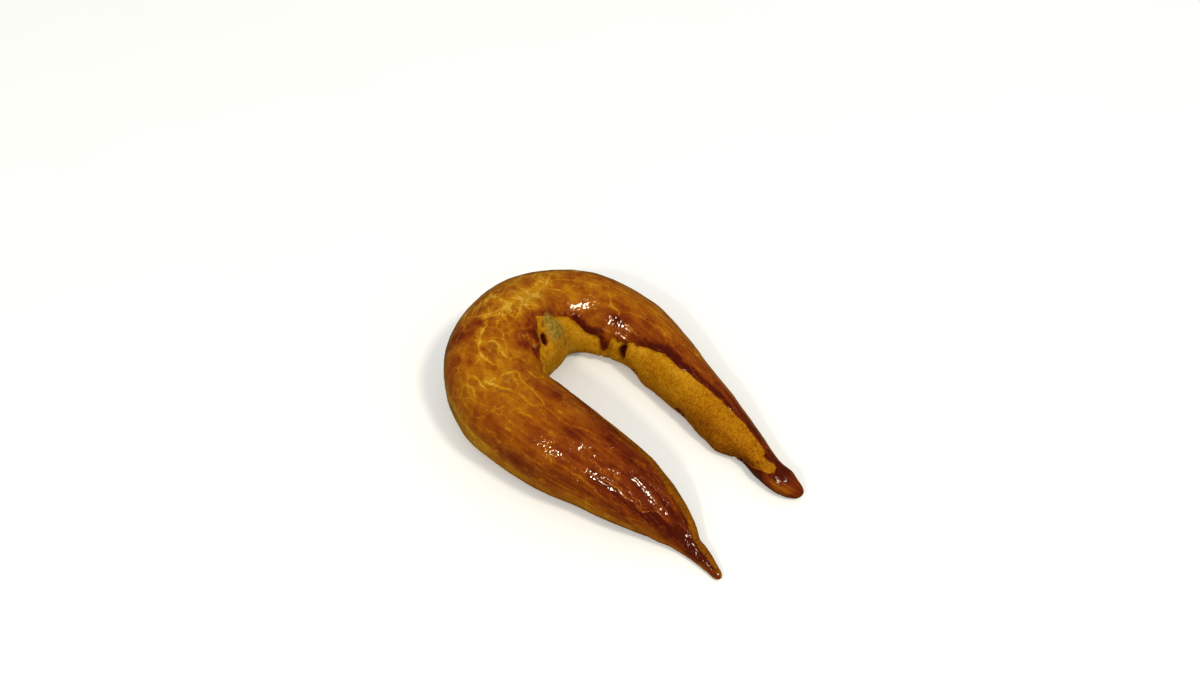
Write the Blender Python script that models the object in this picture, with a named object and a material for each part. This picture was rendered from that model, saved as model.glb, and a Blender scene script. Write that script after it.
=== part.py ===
"""Poppy seed crescent roll: a horseshoe of filled yeast dough, glazed and baked in one piece.

The roll lies flat. Its round bend points along +Y and its two pinched tips along -Y. The fat leg is on
the -X side and the slim one on the +X side. All sizes are in millimetres and are scaled once, at the end.
"""

from typing import NamedTuple

import bmesh
import bpy
import numpy as np
from mathutils import Vector, noise

MM = 0.001  # one millimetre in Blender's metres


class Station(NamedTuple):
    """One place on the roll's middle line, seen from above."""

    x: float
    y: float
    half_width: float
    inner_roundness: float  # 2 is a round inner face, 1.6 a nearly flat one


# From the fat leg's tip, round the bend, to the slim leg's tip.
STATIONS = (
    Station(-18.5, -60.0, 1.2, 2.0),
    Station(-16.8, -52.5, 2.3, 2.0),
    Station(-15.9, -46.5, 3.5, 2.0),
    Station(-15.4, -37.5, 7.1, 1.9),
    Station(-16.0, -28.0, 10.1, 1.85),
    Station(-17.2, -15.5, 11.9, 1.9),
    Station(-19.4, -2.0, 13.8, 2.0),
    Station(-20.7, 10.0, 14.4, 2.1),
    Station(-20.0, 22.2, 14.5, 2.15),
    Station(-12.4, 33.1, 15.3, 2.15),
    Station(1.0, 37.6, 15.4, 2.1),
    Station(13.6, 36.4, 13.5, 2.1),
    Station(24.2, 27.3, 11.8, 2.1),
    Station(28.3, 13.1, 10.3, 1.95),
    Station(26.9, -1.0, 9.0, 1.75),
    Station(24.0, -15.0, 7.9, 1.65),
    Station(21.6, -26.0, 7.2, 1.65),
    Station(20.1, -38.0, 5.3, 1.7),
    Station(17.9, -48.5, 4.0, 1.9),
    Station(17.6, -55.0, 3.5, 2.0),
    Station(19.0, -60.0, 1.6, 2.0),
)

# Cross-section: a round loaf with a flat foot.
HEIGHT_TO_HALF_WIDTH = 1.68
BELT = 0.42  # the section is widest at this share of its height
OUTER_ROUNDNESS = 2.2
FOOT_ROUNDNESS = 3.2
FOOT_SINK = 1.06  # how far the lower curve would go below the tray, as a share of the belt
OUTLINE_STEPS = 720  # short chords that stand for the curve while its girth is measured

# Mesh density.
RINGS = 122
RING_POINTS = 42
CAP_RINGS = 3
CAP_LENGTH = 1.8
BEND_MIDDLE, BEND_REACH = 114.0, 26.0
BEND_EXTRA = 1.0  # rings stand this many times closer, plus one, in the middle of the bend
SPACING_STEPS = 2000
FOOT_THINNING = 0.4  # points are spaced this share wider under the foot and closer on top
WELD = 0.001  # points this close are one, at the seam and at the tips
ON_THE_TRAY = 1e-6
NO_LENGTH = 1e-6  # steps and directions shorter than this aren't divided by

# Where the glaze ends on the inner face: distance along the roll, and share of the way round the section,
# counted from the middle of the foot up the outer side (0.25), over the top (0.5) and down the inner side.
GLAZE_EDGE = (
    (0.0, 0.49),
    (12.0, 0.49),
    (16.0, 0.56),
    (25.0, 0.57),
    (34.0, 0.615),
    (48.0, 0.645),
    (75.0, 0.685),
    (90.0, 0.70),
    (104.0, 0.66),
    (111.0, 0.592),
    (128.0, 0.643),
    (139.0, 0.71),
    (156.0, 0.68),
    (160.0, 0.632),
    (168.0, 0.575),
    (174.0, 0.56),
    (178.0, 0.53),
    (190.0, 0.49),
    (208.0, 0.46),
    (212.0, 0.515),
    (216.0, 0.50),
    (218.0, 0.70),
    (226.0, 0.72),
)
GLAZE_RIM, GLAZE_RIM_PLACE = 0.25, -1.3  # the crust's rim stands proud just above the edge
GLAZE_GROOVE, GLAZE_GROOVE_PLACE = 0.45, 1.1  # the bare dough starts in a groove just below it
EDGE_WIDTH = 1.3
BARE_SWELL, BARE_SWELL_REACH = 0.4, 5.0  # and swells out again, this far below the edge
BARE_FOOT, BARE_FOOT_FADE = 0.93, 0.08  # past this share of the way round, the swelling runs out into the foot


class Dent(NamedTuple):
    """A smooth oval hollow in the crust, or a bump where the depth is negative."""

    along: float
    around: float
    length: float  # half length and half width of the oval
    width: float
    depth: float
    turn: float = 0.0  # degrees from lengthwise, turning down the inner side


DENT_THICKNESS = 4.0  # a dent fades out this far off its own patch of skin
PATCH_STEP, PATCH_SHARE = 0.5, 0.005  # spacing of the points that give a patch its directions

DENTS = (
    # Fold of the inner bend, where the pale dough swells out from under the glazed crust.
    Dent(along=107.5, around=0.645, length=5.0, width=1.7, depth=1.5, turn=102.0),
    Dent(along=100.5, around=0.64, length=6.0, width=3.0, depth=-0.3, turn=102.0),
    Dent(along=113.5, around=0.685, length=6.5, width=3.2, depth=-0.8, turn=85.0),
    Dent(along=120.0, around=0.73, length=7.5, width=1.7, depth=0.5, turn=80.0),
    Dent(along=92.0, around=0.66, length=5.0, width=1.6, depth=0.4, turn=135.0),
    # Corner of the foot under the bend, the run of glaze and the burst blister beside it.
    Dent(along=117.0, around=0.80, length=5.0, width=4.0, depth=-0.9),
    Dent(along=142.0, around=0.81, length=4.5, width=3.5, depth=-0.7),
    Dent(along=147.0, around=0.76, length=5.0, width=1.8, depth=-0.45, turn=90.0),
    Dent(along=155.0, around=0.735, length=3.2, width=1.5, depth=1.0, turn=90.0),
    # Blistered ring and open cracks on top of the bend.
    Dent(along=91.5, around=0.495, length=3.4, width=2.8, depth=0.75),
    Dent(along=90.0, around=0.45, length=4.5, width=1.4, depth=-0.3),
    Dent(along=79.0, around=0.468, length=4.5, width=1.8, depth=0.5, turn=115.0),
    Dent(along=117.0, around=0.515, length=6.0, width=2.2, depth=0.45),
    Dent(along=106.0, around=0.43, length=6.0, width=1.8, depth=0.35, turn=90.0),
    # Fold near the fat leg's tip, and the nick above it.
    Dent(along=26.5, around=0.36, length=3.4, width=1.6, depth=0.45),
    Dent(along=25.5, around=0.41, length=3.0, width=1.4, depth=-0.35),
    Dent(along=33.0, around=0.47, length=6.0, width=3.0, depth=-0.3),
    Dent(along=12.0, around=0.70, length=2.0, width=2.5, depth=0.7),
    # Uneven foot of the slim leg, with its burnt crumbs, and the flattened end.
    Dent(along=130.5, around=0.82, length=4.0, width=3.5, depth=0.4),
    Dent(along=159.0, around=0.82, length=4.0, width=3.5, depth=0.8),
    Dent(along=166.5, around=0.82, length=3.0, width=3.5, depth=-0.5),
    Dent(along=182.5, around=0.80, length=3.0, width=3.0, depth=0.5),
    Dent(along=191.0, around=0.82, length=3.0, width=3.5, depth=-0.3),
    Dent(along=197.5, around=0.82, length=3.5, width=3.5, depth=-1.0),
    Dent(along=206.5, around=0.80, length=4.0, width=3.5, depth=0.9),
    Dent(along=213.0, around=0.56, length=3.0, width=2.6, depth=-0.35),
    Dent(along=221.0, around=0.33, length=2.4, width=2.5, depth=-0.4),
)

# Unevenness of the whole loaf, and the long furrows that rolling the dough leaves on its legs.
HOLLOW_LENGTH, HOLLOW_DEPTH = 13.0, 0.42
RIPPLE_LENGTH, RIPPLE_DEPTH, RIPPLE_SHIFT = 5.0, 0.14, 40.0
FURROW_LENGTH, FURROW_WIDTH, FURROW_DEPTH = 34.0, 3.4, 0.26
SMOOTH_MIDDLE, SMOOTH_REACH = 108.0, 38.0  # the bend, which has no furrows

# Tip folds: the pinched ends are pleated lengthwise, and all other relief fades towards them.
PLEATS, PLEAT_HEIGHT, PLEAT_REACH = 5, 0.22, 22.0
TIP_FADE, TIP_RELIEF = 9.0, 0.25

CRUST_COLOUR = (0.42, 0.17, 0.03, 1.0)
CRUST_ROUGHNESS = 0.28


def clear_scene():
    """Removes whatever the open file holds."""
    for thing in list(bpy.data.objects):
        bpy.data.objects.remove(thing, do_unlink=True)


def smooth_through(knots, values, at):
    """A cubic curve through the values at the knots, read at other places."""
    slopes = np.gradient(values, knots, axis=0)
    left = np.clip(np.searchsorted(knots, at, side="right") - 1, 0, len(knots) - 2)
    span = (knots[left + 1] - knots[left])[:, None]
    t = (at - knots[left])[:, None] / span
    rise = values[left + 1] - values[left]
    start, end = slopes[left] * span, slopes[left + 1] * span
    return values[left] + t * start + t**2 * (3 * rise - 2 * start - end) + t**3 * (start + end - 2 * rise)


def ease(low, high, value):
    """0 below low, 1 above high and a smooth rise between them."""
    t = np.clip((value - low) / (high - low), 0.0, 1.0)
    return t * t * (3.0 - 2.0 * t)


def spine_knots():
    """Distance of each station along the middle line."""
    places = np.array([(s.x, s.y) for s in STATIONS])
    steps = np.linalg.norm(np.diff(places, axis=0), axis=1)
    return np.concatenate(([0.0], np.cumsum(steps)))


def ring_places(length):
    """Distances of the rings along the roll, closer together in the bend and in the rounded ends."""
    fine = np.linspace(CAP_LENGTH, length - CAP_LENGTH, SPACING_STEPS + 1)
    density = 1.0 + BEND_EXTRA * np.exp(-(((fine - BEND_MIDDLE) / BEND_REACH) ** 2))
    rank = np.concatenate(([0.0], np.cumsum((density[1:] + density[:-1]) / 2.0)))
    body = np.interp(np.linspace(0.0, rank[-1], RINGS - 2 * CAP_RINGS), rank, fine)
    cap = CAP_LENGTH * (1.0 - np.cos(np.linspace(0.0, np.pi / 2, CAP_RINGS + 1)))[:-1]
    return np.concatenate((cap, body, length - cap[::-1]))


def ring_shares():
    """Shares of the way round at which a ring has its points, from 0 to 1."""
    even = np.linspace(0.0, 1.0, RING_POINTS + 1)
    return even + FOOT_THINNING * np.sin(2.0 * np.pi * even) / (2.0 * np.pi)


def section(half_width, inner_roundness, shares):
    """Outline of one ring as (sideways, height), from the middle of the foot round the outer side."""
    turn = np.linspace(-np.pi / 2, 1.5 * np.pi, OUTLINE_STEPS + 1)
    across, upward = np.cos(turn), np.sin(turn)
    height = HEIGHT_TO_HALF_WIDTH * half_width
    belt = BELT * height
    upper = np.where(across >= 0.0, OUTER_ROUNDNESS, inner_roundness)
    power = 2.0 / np.where(upward < 0.0, FOOT_ROUNDNESS, upper)
    sideways = half_width * np.sign(across) * np.abs(across) ** power
    rise = np.abs(upward) ** power
    level = np.where(upward < 0.0, belt * (1.0 - FOOT_SINK * rise), belt + (height - belt) * rise)
    level = np.maximum(level, 0.0)
    walked = np.concatenate(([0.0], np.cumsum(np.hypot(np.diff(sideways), np.diff(level)))))
    share_walked = walked / walked[-1]
    return np.interp(shares, share_walked, sideways), np.interp(shares, share_walked, level), walked[-1]


def smooth_skin(along, shares):
    """Points of the plain loaf and the girth of each ring, before any relief."""
    knots = spine_knots()
    table = smooth_through(knots, np.array(STATIONS), along)
    heading = np.gradient(table[:, :2], along, axis=0)
    heading /= np.linalg.norm(heading, axis=1)[:, None]
    points = np.zeros((len(along), len(shares), 3))
    girths = np.zeros(len(along))
    for ring, (x, y, half_width, roundness) in enumerate(table):
        sideways, level, girths[ring] = section(half_width, roundness, shares)
        left = np.array((-heading[ring, 1], heading[ring, 0]))
        points[ring, :, :2] = (x, y) + sideways[:, None] * left
        points[ring, :, 2] = level
    return points, girths


def outward(points):
    """Unit normals of the loaf, which face away from the dough."""
    lengthwise = np.gradient(points, axis=0)
    wrapped = np.concatenate((points[:, -2:-1], points, points[:, 1:2]), axis=1)
    crosswise = (wrapped[:, 2:] - wrapped[:, :-2]) / 2.0
    normals = np.cross(crosswise, lengthwise)
    return normals / np.maximum(np.linalg.norm(normals, axis=2), NO_LENGTH)[..., None]


def noise_field(points, stretch):
    """Blender's smooth noise at each point, after the point is divided by the three stretch lengths."""
    scaled = (points / np.array(stretch)).reshape(-1, 3)
    values = [noise.noise(Vector(place)) for place in scaled]
    return np.array(values).reshape(points.shape[:-1])


def along_and_around(along, shares, girths):
    """Coordinates that follow the skin, in millimetres: along the roll, and up from the top's line."""
    length = np.repeat(along[:, None], len(shares), axis=1)
    climb = (shares[None, :] - 0.5) * girths[:, None]
    return length, climb


def glaze_distance(points, length, share, girth):
    """Distance of each point beyond the edge of the glaze, down the inner side."""
    edge_places, edge_shares = np.array(GLAZE_EDGE).T
    beyond = (share - np.interp(length, edge_places, edge_shares)) * girth
    rates = [np.gradient(beyond, axis=k) / step_lengths(points, k) for k in (0, 1)]
    return beyond / np.hypot(*rates)


def step_lengths(points, axis):
    """Distance from each point to the next one, along or round the loaf."""
    return np.maximum(np.linalg.norm(np.gradient(points, axis=axis), axis=2), NO_LENGTH)


def glaze_relief(points, length, share, girth):
    """The raised rim of the glazed crust, and the bare dough that swells out of a groove beyond it."""
    beyond = glaze_distance(points, length, share, girth)
    rim = GLAZE_RIM * np.exp(-(((beyond - GLAZE_RIM_PLACE) / EDGE_WIDTH) ** 2))
    groove = GLAZE_GROOVE * np.exp(-(((beyond - GLAZE_GROOVE_PLACE) / EDGE_WIDTH) ** 2))
    above_foot = 1.0 - ease(BARE_FOOT - BARE_FOOT_FADE, BARE_FOOT, share)
    swell = BARE_SWELL * ease(0.0, BARE_SWELL_REACH, beyond) * above_foot
    return rim - groove + swell


def patch_frame(along, around):
    """A point of the skin with its lengthwise, crosswise and outward directions."""
    points, _ = smooth_skin(along + PATCH_STEP * np.arange(-1, 2), around + PATCH_SHARE * np.arange(-1, 2))
    lengthwise = points[2, 1] - points[0, 1]
    crosswise = points[1, 2] - points[1, 0]
    lengthwise /= np.linalg.norm(lengthwise)
    crosswise /= np.linalg.norm(crosswise)
    return points[1, 1], np.array((lengthwise, crosswise, np.cross(crosswise, lengthwise)))


def dent_relief(points):
    """All the dents and bumps, each a smooth oval lying on its own patch of skin."""
    relief = np.zeros(points.shape[:2])
    for dent in DENTS:
        middle, axes = patch_frame(dent.along, dent.around)
        lengthwise, crosswise, off = np.moveaxis((points - middle) @ axes.T, -1, 0)
        turn = np.radians(dent.turn)
        along = (lengthwise * np.cos(turn) + crosswise * np.sin(turn)) / dent.length
        across = (crosswise * np.cos(turn) - lengthwise * np.sin(turn)) / dent.width
        relief -= dent.depth * np.exp(-(along**2 + across**2 + (off / DENT_THICKNESS) ** 2))
    return relief


def loaf_relief(points, length, climb):
    """Hollows all over, and long furrows along the two legs."""
    hollows = HOLLOW_DEPTH * noise_field(points, (HOLLOW_LENGTH,) * 3)
    ripples = RIPPLE_DEPTH * noise_field(points + RIPPLE_SHIFT, (RIPPLE_LENGTH,) * 3)
    flat = np.stack((length, climb, np.zeros_like(length)), axis=-1)
    furrows = noise_field(flat, (FURROW_LENGTH, FURROW_WIDTH, 1.0))
    smooth = np.exp(-(((length - SMOOTH_MIDDLE) / SMOOTH_REACH) ** 2))
    return -(hollows + ripples + FURROW_DEPTH * furrows * (1.0 - smooth))


def tip_pleats(length, share, total):
    """Lengthwise pleats that fade out of the pinched tips."""
    from_tip = np.minimum(length, total - length)
    fade = 1.0 - ease(0.0, PLEAT_REACH, from_tip)
    rounded_end = ease(0.0, CAP_LENGTH, from_tip)
    return PLEAT_HEIGHT * fade * rounded_end * (0.5 + 0.5 * np.cos(2.0 * np.pi * PLEATS * share))


def roll_points():
    """The roll's skin as rings of points, with both ends drawn in to a single point."""
    total = spine_knots()[-1]
    along = ring_places(total)
    shares = ring_shares()
    points, girths = smooth_skin(along, shares)
    length, climb = along_and_around(along, shares, girths)
    share, girth = shares[None, :], girths[:, None]
    relief = glaze_relief(points, length, share, girth) + dent_relief(points)
    relief += loaf_relief(points, length, climb) + tip_pleats(length, share, total)
    from_tip = np.minimum(length, total - length)
    relief *= TIP_RELIEF + (1.0 - TIP_RELIEF) * ease(0.0, TIP_FADE, from_tip)
    on_foot = points[..., 2] < ON_THE_TRAY
    shaped = points + outward(points) * relief[..., None]
    shaped[..., 2] = np.where(on_foot, 0.0, np.maximum(shaped[..., 2], 0.0))
    round_off = np.sqrt(np.clip(1.0 - (1.0 - np.minimum(from_tip / CAP_LENGTH, 1.0)) ** 2, 0.0, 1.0))
    middle = shaped[:, :-1].mean(axis=1, keepdims=True)
    return middle + (shaped - middle) * round_off[..., None]


def centred(points):
    """The same points with the origin under the middle of their box."""
    low, high = points.reshape(-1, 3).min(axis=0), points.reshape(-1, 3).max(axis=0)
    return points - np.array(((low[0] + high[0]) / 2, (low[1] + high[1]) / 2, low[2]))


def crust_material():
    """Amber, egg-washed crust."""
    material = bpy.data.materials.new("crust")
    material.use_nodes = True
    shader = material.node_tree.nodes["Principled BSDF"]
    shader.inputs["Base Color"].default_value = CRUST_COLOUR
    shader.inputs["Roughness"].default_value = CRUST_ROUGHNESS
    shader.inputs["Metallic"].default_value = 0.0
    return material


def build_roll(collection):
    """The whole roll as one closed mesh: a grid wrapped round the loaf, welded at its seam and ends."""
    points = centred(roll_points())
    last_ring, last_point = points.shape[0] - 1, points.shape[1] - 1
    shape = bmesh.new()
    bmesh.ops.create_grid(shape, x_segments=last_ring, y_segments=last_point, size=0.5)
    for vertex in shape.verts:
        ring = round((vertex.co.x + 0.5) * last_ring)
        place = round((vertex.co.y + 0.5) * last_point)
        vertex.co = Vector(points[ring, place]) * MM
    bmesh.ops.remove_doubles(shape, verts=shape.verts, dist=WELD * MM)
    bmesh.ops.recalc_face_normals(shape, faces=shape.faces)
    mesh = bpy.data.meshes.new("crescent_roll")
    shape.to_mesh(mesh)
    shape.free()
    mesh.shade_smooth()
    mesh.materials.append(crust_material())
    roll = bpy.data.objects.new("crescent_roll", mesh)
    collection.objects.link(roll)
    return roll


def main():
    clear_scene()
    collection = bpy.data.collections.new("poppy_seed_crescent_roll")
    bpy.context.scene.collection.children.link(collection)
    build_roll(collection)


main()
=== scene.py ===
"""Poppy seed crescent roll, dressed: a horseshoe of filled dough with a cracked, glazed crust.

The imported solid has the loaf's form and its main dents. This script lays a finer skin over the same form,
and adds the cracks, the small blisters of the glaze, all colours and the burnt crumbs at the foot.

Two surface coordinates are used all through. `along` is the distance in millimetres on the middle line,
from the fat leg's tip, round the bend, to the slim leg's tip. `around` is the share of the way round a
ring: 0 in the middle of the foot, 0.25 on the outer side, 0.5 on top, 0.75 on the inner side, 1 at the
foot again. The form is worked out in millimetres, and everything in Blender is in metres.
"""

import logging
import math
from dataclasses import dataclass, field
from enum import Enum

import bmesh
import bpy
import numpy as np
from mathutils import Matrix, Vector, noise


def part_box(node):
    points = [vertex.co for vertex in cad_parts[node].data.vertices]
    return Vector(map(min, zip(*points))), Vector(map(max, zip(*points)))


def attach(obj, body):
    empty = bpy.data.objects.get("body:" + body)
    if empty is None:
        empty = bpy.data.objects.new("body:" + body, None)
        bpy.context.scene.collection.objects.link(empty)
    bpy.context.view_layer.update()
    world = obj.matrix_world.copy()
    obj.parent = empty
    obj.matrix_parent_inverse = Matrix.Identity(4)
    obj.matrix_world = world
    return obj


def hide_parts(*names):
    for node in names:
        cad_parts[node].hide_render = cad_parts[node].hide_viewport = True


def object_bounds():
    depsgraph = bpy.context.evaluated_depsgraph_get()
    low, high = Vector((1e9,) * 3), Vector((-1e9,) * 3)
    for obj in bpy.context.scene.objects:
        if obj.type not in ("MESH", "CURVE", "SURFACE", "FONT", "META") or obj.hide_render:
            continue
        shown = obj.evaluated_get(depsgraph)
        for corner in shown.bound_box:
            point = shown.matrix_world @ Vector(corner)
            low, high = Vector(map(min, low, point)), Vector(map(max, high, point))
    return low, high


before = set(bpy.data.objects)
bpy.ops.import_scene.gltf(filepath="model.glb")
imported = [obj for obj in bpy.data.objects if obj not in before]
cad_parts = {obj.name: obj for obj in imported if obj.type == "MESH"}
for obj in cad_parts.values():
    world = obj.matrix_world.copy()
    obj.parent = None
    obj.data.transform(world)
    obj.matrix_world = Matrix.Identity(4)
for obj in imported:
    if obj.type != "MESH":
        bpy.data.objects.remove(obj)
CAD_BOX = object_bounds()

MM = 0.001  # one millimetre in metres
NO_LENGTH = 1e-6
CRACK_LAYERS = 4
SKIN_MAP = "skin"  # UV map in millimetres: along the roll, and up from the top's line

log = logging.getLogger("crescent_roll")


class Mark(Enum):
    """What a painted mark does to the crust. The value is the name of the mesh attribute that holds it."""

    CRACK = "crack"  # the glaze has stretched open and pale dough shows
    BROWN = "brown"  # baked darker, or lighter where the strength is negative; some lighter places also hold painted highlight and sheen
    OLIVE = "olive"  # greenish grey bloom
    CHAR_AND_HOLE_SHADE = "char_and_hole_shade"  # burnt crust, and painted shade inside deep slits, creases and holes
    FOLD = "fold"  # the dough stands up in a fold
    ROUGH = "rough"  # the glaze is finely wrinkled


# ---------------------------------------------------------------------------------------------------------
# Small helpers
# ---------------------------------------------------------------------------------------------------------


def ease(low: float, high: float, value: np.ndarray) -> np.ndarray:
    """A smooth rise.

    Args:
        low: Value up to which the result is 0.
        high: Value from which the result is 1.
        value: Numbers to look up.

    Returns:
        Numbers from 0 to 1, one for each value.
    """
    t = np.clip((value - low) / (high - low), 0.0, 1.0)
    return t * t * (3.0 - 2.0 * t)


def bell(value: np.ndarray, middle: float, width: float) -> np.ndarray:
    """A smooth hump of height 1.

    Args:
        value: Numbers to look up.
        middle: Where the hump stands.
        width: Distance from the middle at which it has fallen to about a third.

    Returns:
        Numbers from 0 to 1, one for each value.
    """
    return np.exp(-(((value - middle) / width) ** 2))


def smooth_through(knots: np.ndarray, values: np.ndarray, at: np.ndarray) -> np.ndarray:
    """A cubic curve through the values at the knots, read at other places.

    Args:
        knots: Places of the values, rising.
        values: One row for each knot.
        at: Places to read.

    Returns:
        One row for each place in `at`.
    """
    slopes = np.gradient(values, knots, axis=0)
    left = np.clip(np.searchsorted(knots, at, side="right") - 1, 0, len(knots) - 2)
    span = (knots[left + 1] - knots[left])[:, None]
    t = (at - knots[left])[:, None] / span
    rise = values[left + 1] - values[left]
    start, end = slopes[left] * span, slopes[left + 1] * span
    return values[left] + t * start + t**2 * (3 * rise - 2 * start - end) + t**3 * (start + end - 2 * rise)


def noise_field(points: np.ndarray, stretch: tuple[float, float, float], shift: float = 0.0) -> np.ndarray:
    """Blender's smooth noise at each point.

    Args:
        points: Points in millimetres, with the three coordinates on the last axis.
        stretch: Length of a wave along each coordinate.
        shift: Moves the pattern, so that two fields of one stretch differ.

    Returns:
        Numbers from about -1 to 1, one for each point.
    """
    scaled = (points / np.array(stretch) + shift).reshape(-1, 3)
    values = [noise.noise(Vector(place)) for place in scaled]
    return np.array(values).reshape(points.shape[:-1])


@dataclass(frozen=True)
class Wave:
    """Smooth unevenness of one size."""

    strength: float
    length: float  # of one wave, in millimetres
    shift: float = 0.0

    def over(self, points: np.ndarray) -> np.ndarray:
        """Its value at each point."""
        return self.strength * noise_field(points, (self.length,) * 3, self.shift)


@dataclass(frozen=True)
class Rise:
    """A strength that comes in smoothly between two values of a measure."""

    strength: float
    start: float
    end: float

    def after(self, value: np.ndarray) -> np.ndarray:
        """Full strength past the end, and none before the start."""
        return self.strength * ease(self.start, self.end, value)

    def before(self, value: np.ndarray) -> np.ndarray:
        """Full strength before the start, and none past the end."""
        return self.strength * (1.0 - ease(self.start, self.end, value))


def cell_borders(points: np.ndarray) -> np.ndarray:
    """Distance of each point from the border of its noise cell, where cells are about 1 wide.

    Args:
        points: Points with the three coordinates on the last axis.

    Returns:
        Numbers from 0 on a border upwards.
    """
    borders = []
    for place in points.reshape(-1, 3):
        nearest, _ = noise.voronoi(Vector(place))
        borders.append(nearest[1] - nearest[0])
    return np.array(borders).reshape(points.shape[:-1])


# ---------------------------------------------------------------------------------------------------------
# Form of the loaf
# ---------------------------------------------------------------------------------------------------------


@dataclass(frozen=True)
class Station:
    """One place on the roll's middle line, seen from above, in millimetres."""

    x: float
    y: float
    half_width: float
    inner_roundness: float  # 2 is a round inner face, 1.6 a nearly flat one


STATIONS = (
    Station(-18.5, -60.0, 1.2, 2.0),
    Station(-16.8, -52.5, 2.3, 2.0),
    Station(-15.9, -46.5, 3.5, 2.0),
    Station(-15.4, -37.5, 7.1, 1.9),
    Station(-16.0, -28.0, 10.1, 1.85),
    Station(-17.2, -15.5, 11.9, 1.9),
    Station(-19.4, -2.0, 13.8, 2.0),
    Station(-20.7, 10.0, 14.4, 2.1),
    Station(-20.0, 22.2, 14.5, 2.15),
    Station(-12.4, 33.1, 15.3, 2.15),
    Station(1.0, 37.6, 15.4, 2.1),
    Station(13.6, 36.4, 13.5, 2.1),
    Station(24.2, 27.3, 11.8, 2.1),
    Station(28.3, 13.1, 10.3, 1.95),
    Station(26.9, -1.0, 9.0, 1.75),
    Station(24.0, -15.0, 7.9, 1.65),
    Station(21.6, -26.0, 7.2, 1.65),
    Station(20.1, -38.0, 5.3, 1.7),
    Station(17.9, -48.5, 4.0, 1.9),
    Station(17.6, -55.0, 3.5, 2.0),
    Station(19.0, -60.0, 1.6, 2.0),
)


@dataclass
class LoafForm:
    """The plain loaf: a round ring section with a flat foot, drawn along the horseshoe."""

    stations: tuple[Station, ...] = STATIONS
    height_to_half_width: float = 1.68
    belt: float = 0.42  # the section is widest at this share of its height
    outer_roundness: float = 2.2
    foot_roundness: float = 3.2
    foot_sink: float = 1.06  # how far the lower curve would go below the tray, as a share of the belt
    outline_steps: int = 720
    patch_step: float = 0.5  # a patch takes its directions from points this far off, lengthwise and
    patch_share: float = 0.005  # as a share of the way round
    share_in_millimetres: float = 80.0  # length that a whole way round counts for along a path
    knots: np.ndarray = field(init=False)
    table: np.ndarray = field(init=False)

    def __post_init__(self) -> None:
        """Measures the middle line."""
        self.table = np.array([(s.x, s.y, s.half_width, s.inner_roundness) for s in self.stations])
        steps = np.linalg.norm(np.diff(self.table[:, :2], axis=0), axis=1)
        self.knots = np.concatenate(([0.0], np.cumsum(steps)))

    @property
    def length(self) -> float:
        """Length of the middle line."""
        return float(self.knots[-1])

    def section(
        self, half_width: float, inner_roundness: float, shares: np.ndarray
    ) -> tuple[np.ndarray, np.ndarray, float]:
        """Outline of one ring.

        Args:
            half_width: Half the width at the belt.
            inner_roundness: Power of the curve on the inner side.
            shares: Shares of the way round, from the middle of the foot up the outer side.

        Returns:
            Sideways places, heights and the girth of the whole ring.
        """
        turn = np.linspace(-np.pi / 2, 1.5 * np.pi, self.outline_steps + 1)
        across, upward = np.cos(turn), np.sin(turn)
        height = self.height_to_half_width * half_width
        belt = self.belt * height
        upper = np.where(across >= 0.0, self.outer_roundness, inner_roundness)
        power = 2.0 / np.where(upward < 0.0, self.foot_roundness, upper)
        sideways = half_width * np.sign(across) * np.abs(across) ** power
        rise = np.abs(upward) ** power
        lower, higher = belt * (1.0 - self.foot_sink * rise), belt + (height - belt) * rise
        level = np.maximum(np.where(upward < 0.0, lower, higher), 0.0)
        walked = np.concatenate(([0.0], np.cumsum(np.hypot(np.diff(sideways), np.diff(level)))))
        share_walked = walked / walked[-1]
        return np.interp(shares, share_walked, sideways), np.interp(shares, share_walked, level), walked[-1]

    def skin(self, along: np.ndarray, shares: np.ndarray) -> tuple[np.ndarray, np.ndarray]:
        """Points of the plain loaf.

        Args:
            along: Distance of each ring on the middle line.
            shares: Share of the way round of each point of a ring.

        Returns:
            Points as rings x shares x 3, and the girth of each ring.
        """
        rows = smooth_through(self.knots, self.table, along)
        heading = np.gradient(rows[:, :2], along, axis=0)
        heading /= np.linalg.norm(heading, axis=1)[:, None]
        points = np.zeros((len(along), len(shares), 3))
        girths = np.zeros(len(along))
        for ring, (x, y, half_width, roundness) in enumerate(rows):
            sideways, level, girths[ring] = self.section(half_width, roundness, shares)
            left = np.array((-heading[ring, 1], heading[ring, 0]))
            points[ring, :, :2] = (x, y) + sideways[:, None] * left
            points[ring, :, 2] = level
        return points, girths

    def patch(self, along: float, around: float) -> tuple[np.ndarray, np.ndarray]:
        """A point of the skin with its own directions.

        Args:
            along: Place of the point on the middle line.
            around: Share of the way round.

        Returns:
            The point, and its lengthwise, crosswise and inward unit vectors as three rows.
        """
        steps = np.arange(-1, 2)
        points, _ = self.skin(along + self.patch_step * steps, around + self.patch_share * steps)
        lengthwise = points[2, 1] - points[0, 1]
        crosswise = points[1, 2] - points[1, 0]
        lengthwise /= np.linalg.norm(lengthwise)
        crosswise /= np.linalg.norm(crosswise)
        return points[1, 1], np.array((lengthwise, crosswise, np.cross(lengthwise, crosswise)))

    def path(self, places: tuple[tuple[float, float], ...]) -> np.ndarray:
        """A line on the skin through a few places.

        Args:
            places: The line's places as (along, around).

        Returns:
            Points about 1 mm apart, as rows.
        """
        knots = np.array(places, float)
        steps = np.abs(np.diff(knots[:, 0])) + self.share_in_millimetres * np.abs(np.diff(knots[:, 1]))
        walked = np.concatenate(([0.0], np.cumsum(steps)))
        count = max(2, int(walked[-1]) + 1)
        spots = smooth_through(walked, knots, np.linspace(0.0, walked[-1], count))
        return np.array([self.patch(along, around)[0] for along, around in spots])


def spread(along: np.ndarray, shares: np.ndarray) -> tuple[np.ndarray, np.ndarray]:
    """Distance along the roll and share of the way round of each point of the skin."""
    return tuple(np.meshgrid(along, shares, indexing="ij"))


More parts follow.
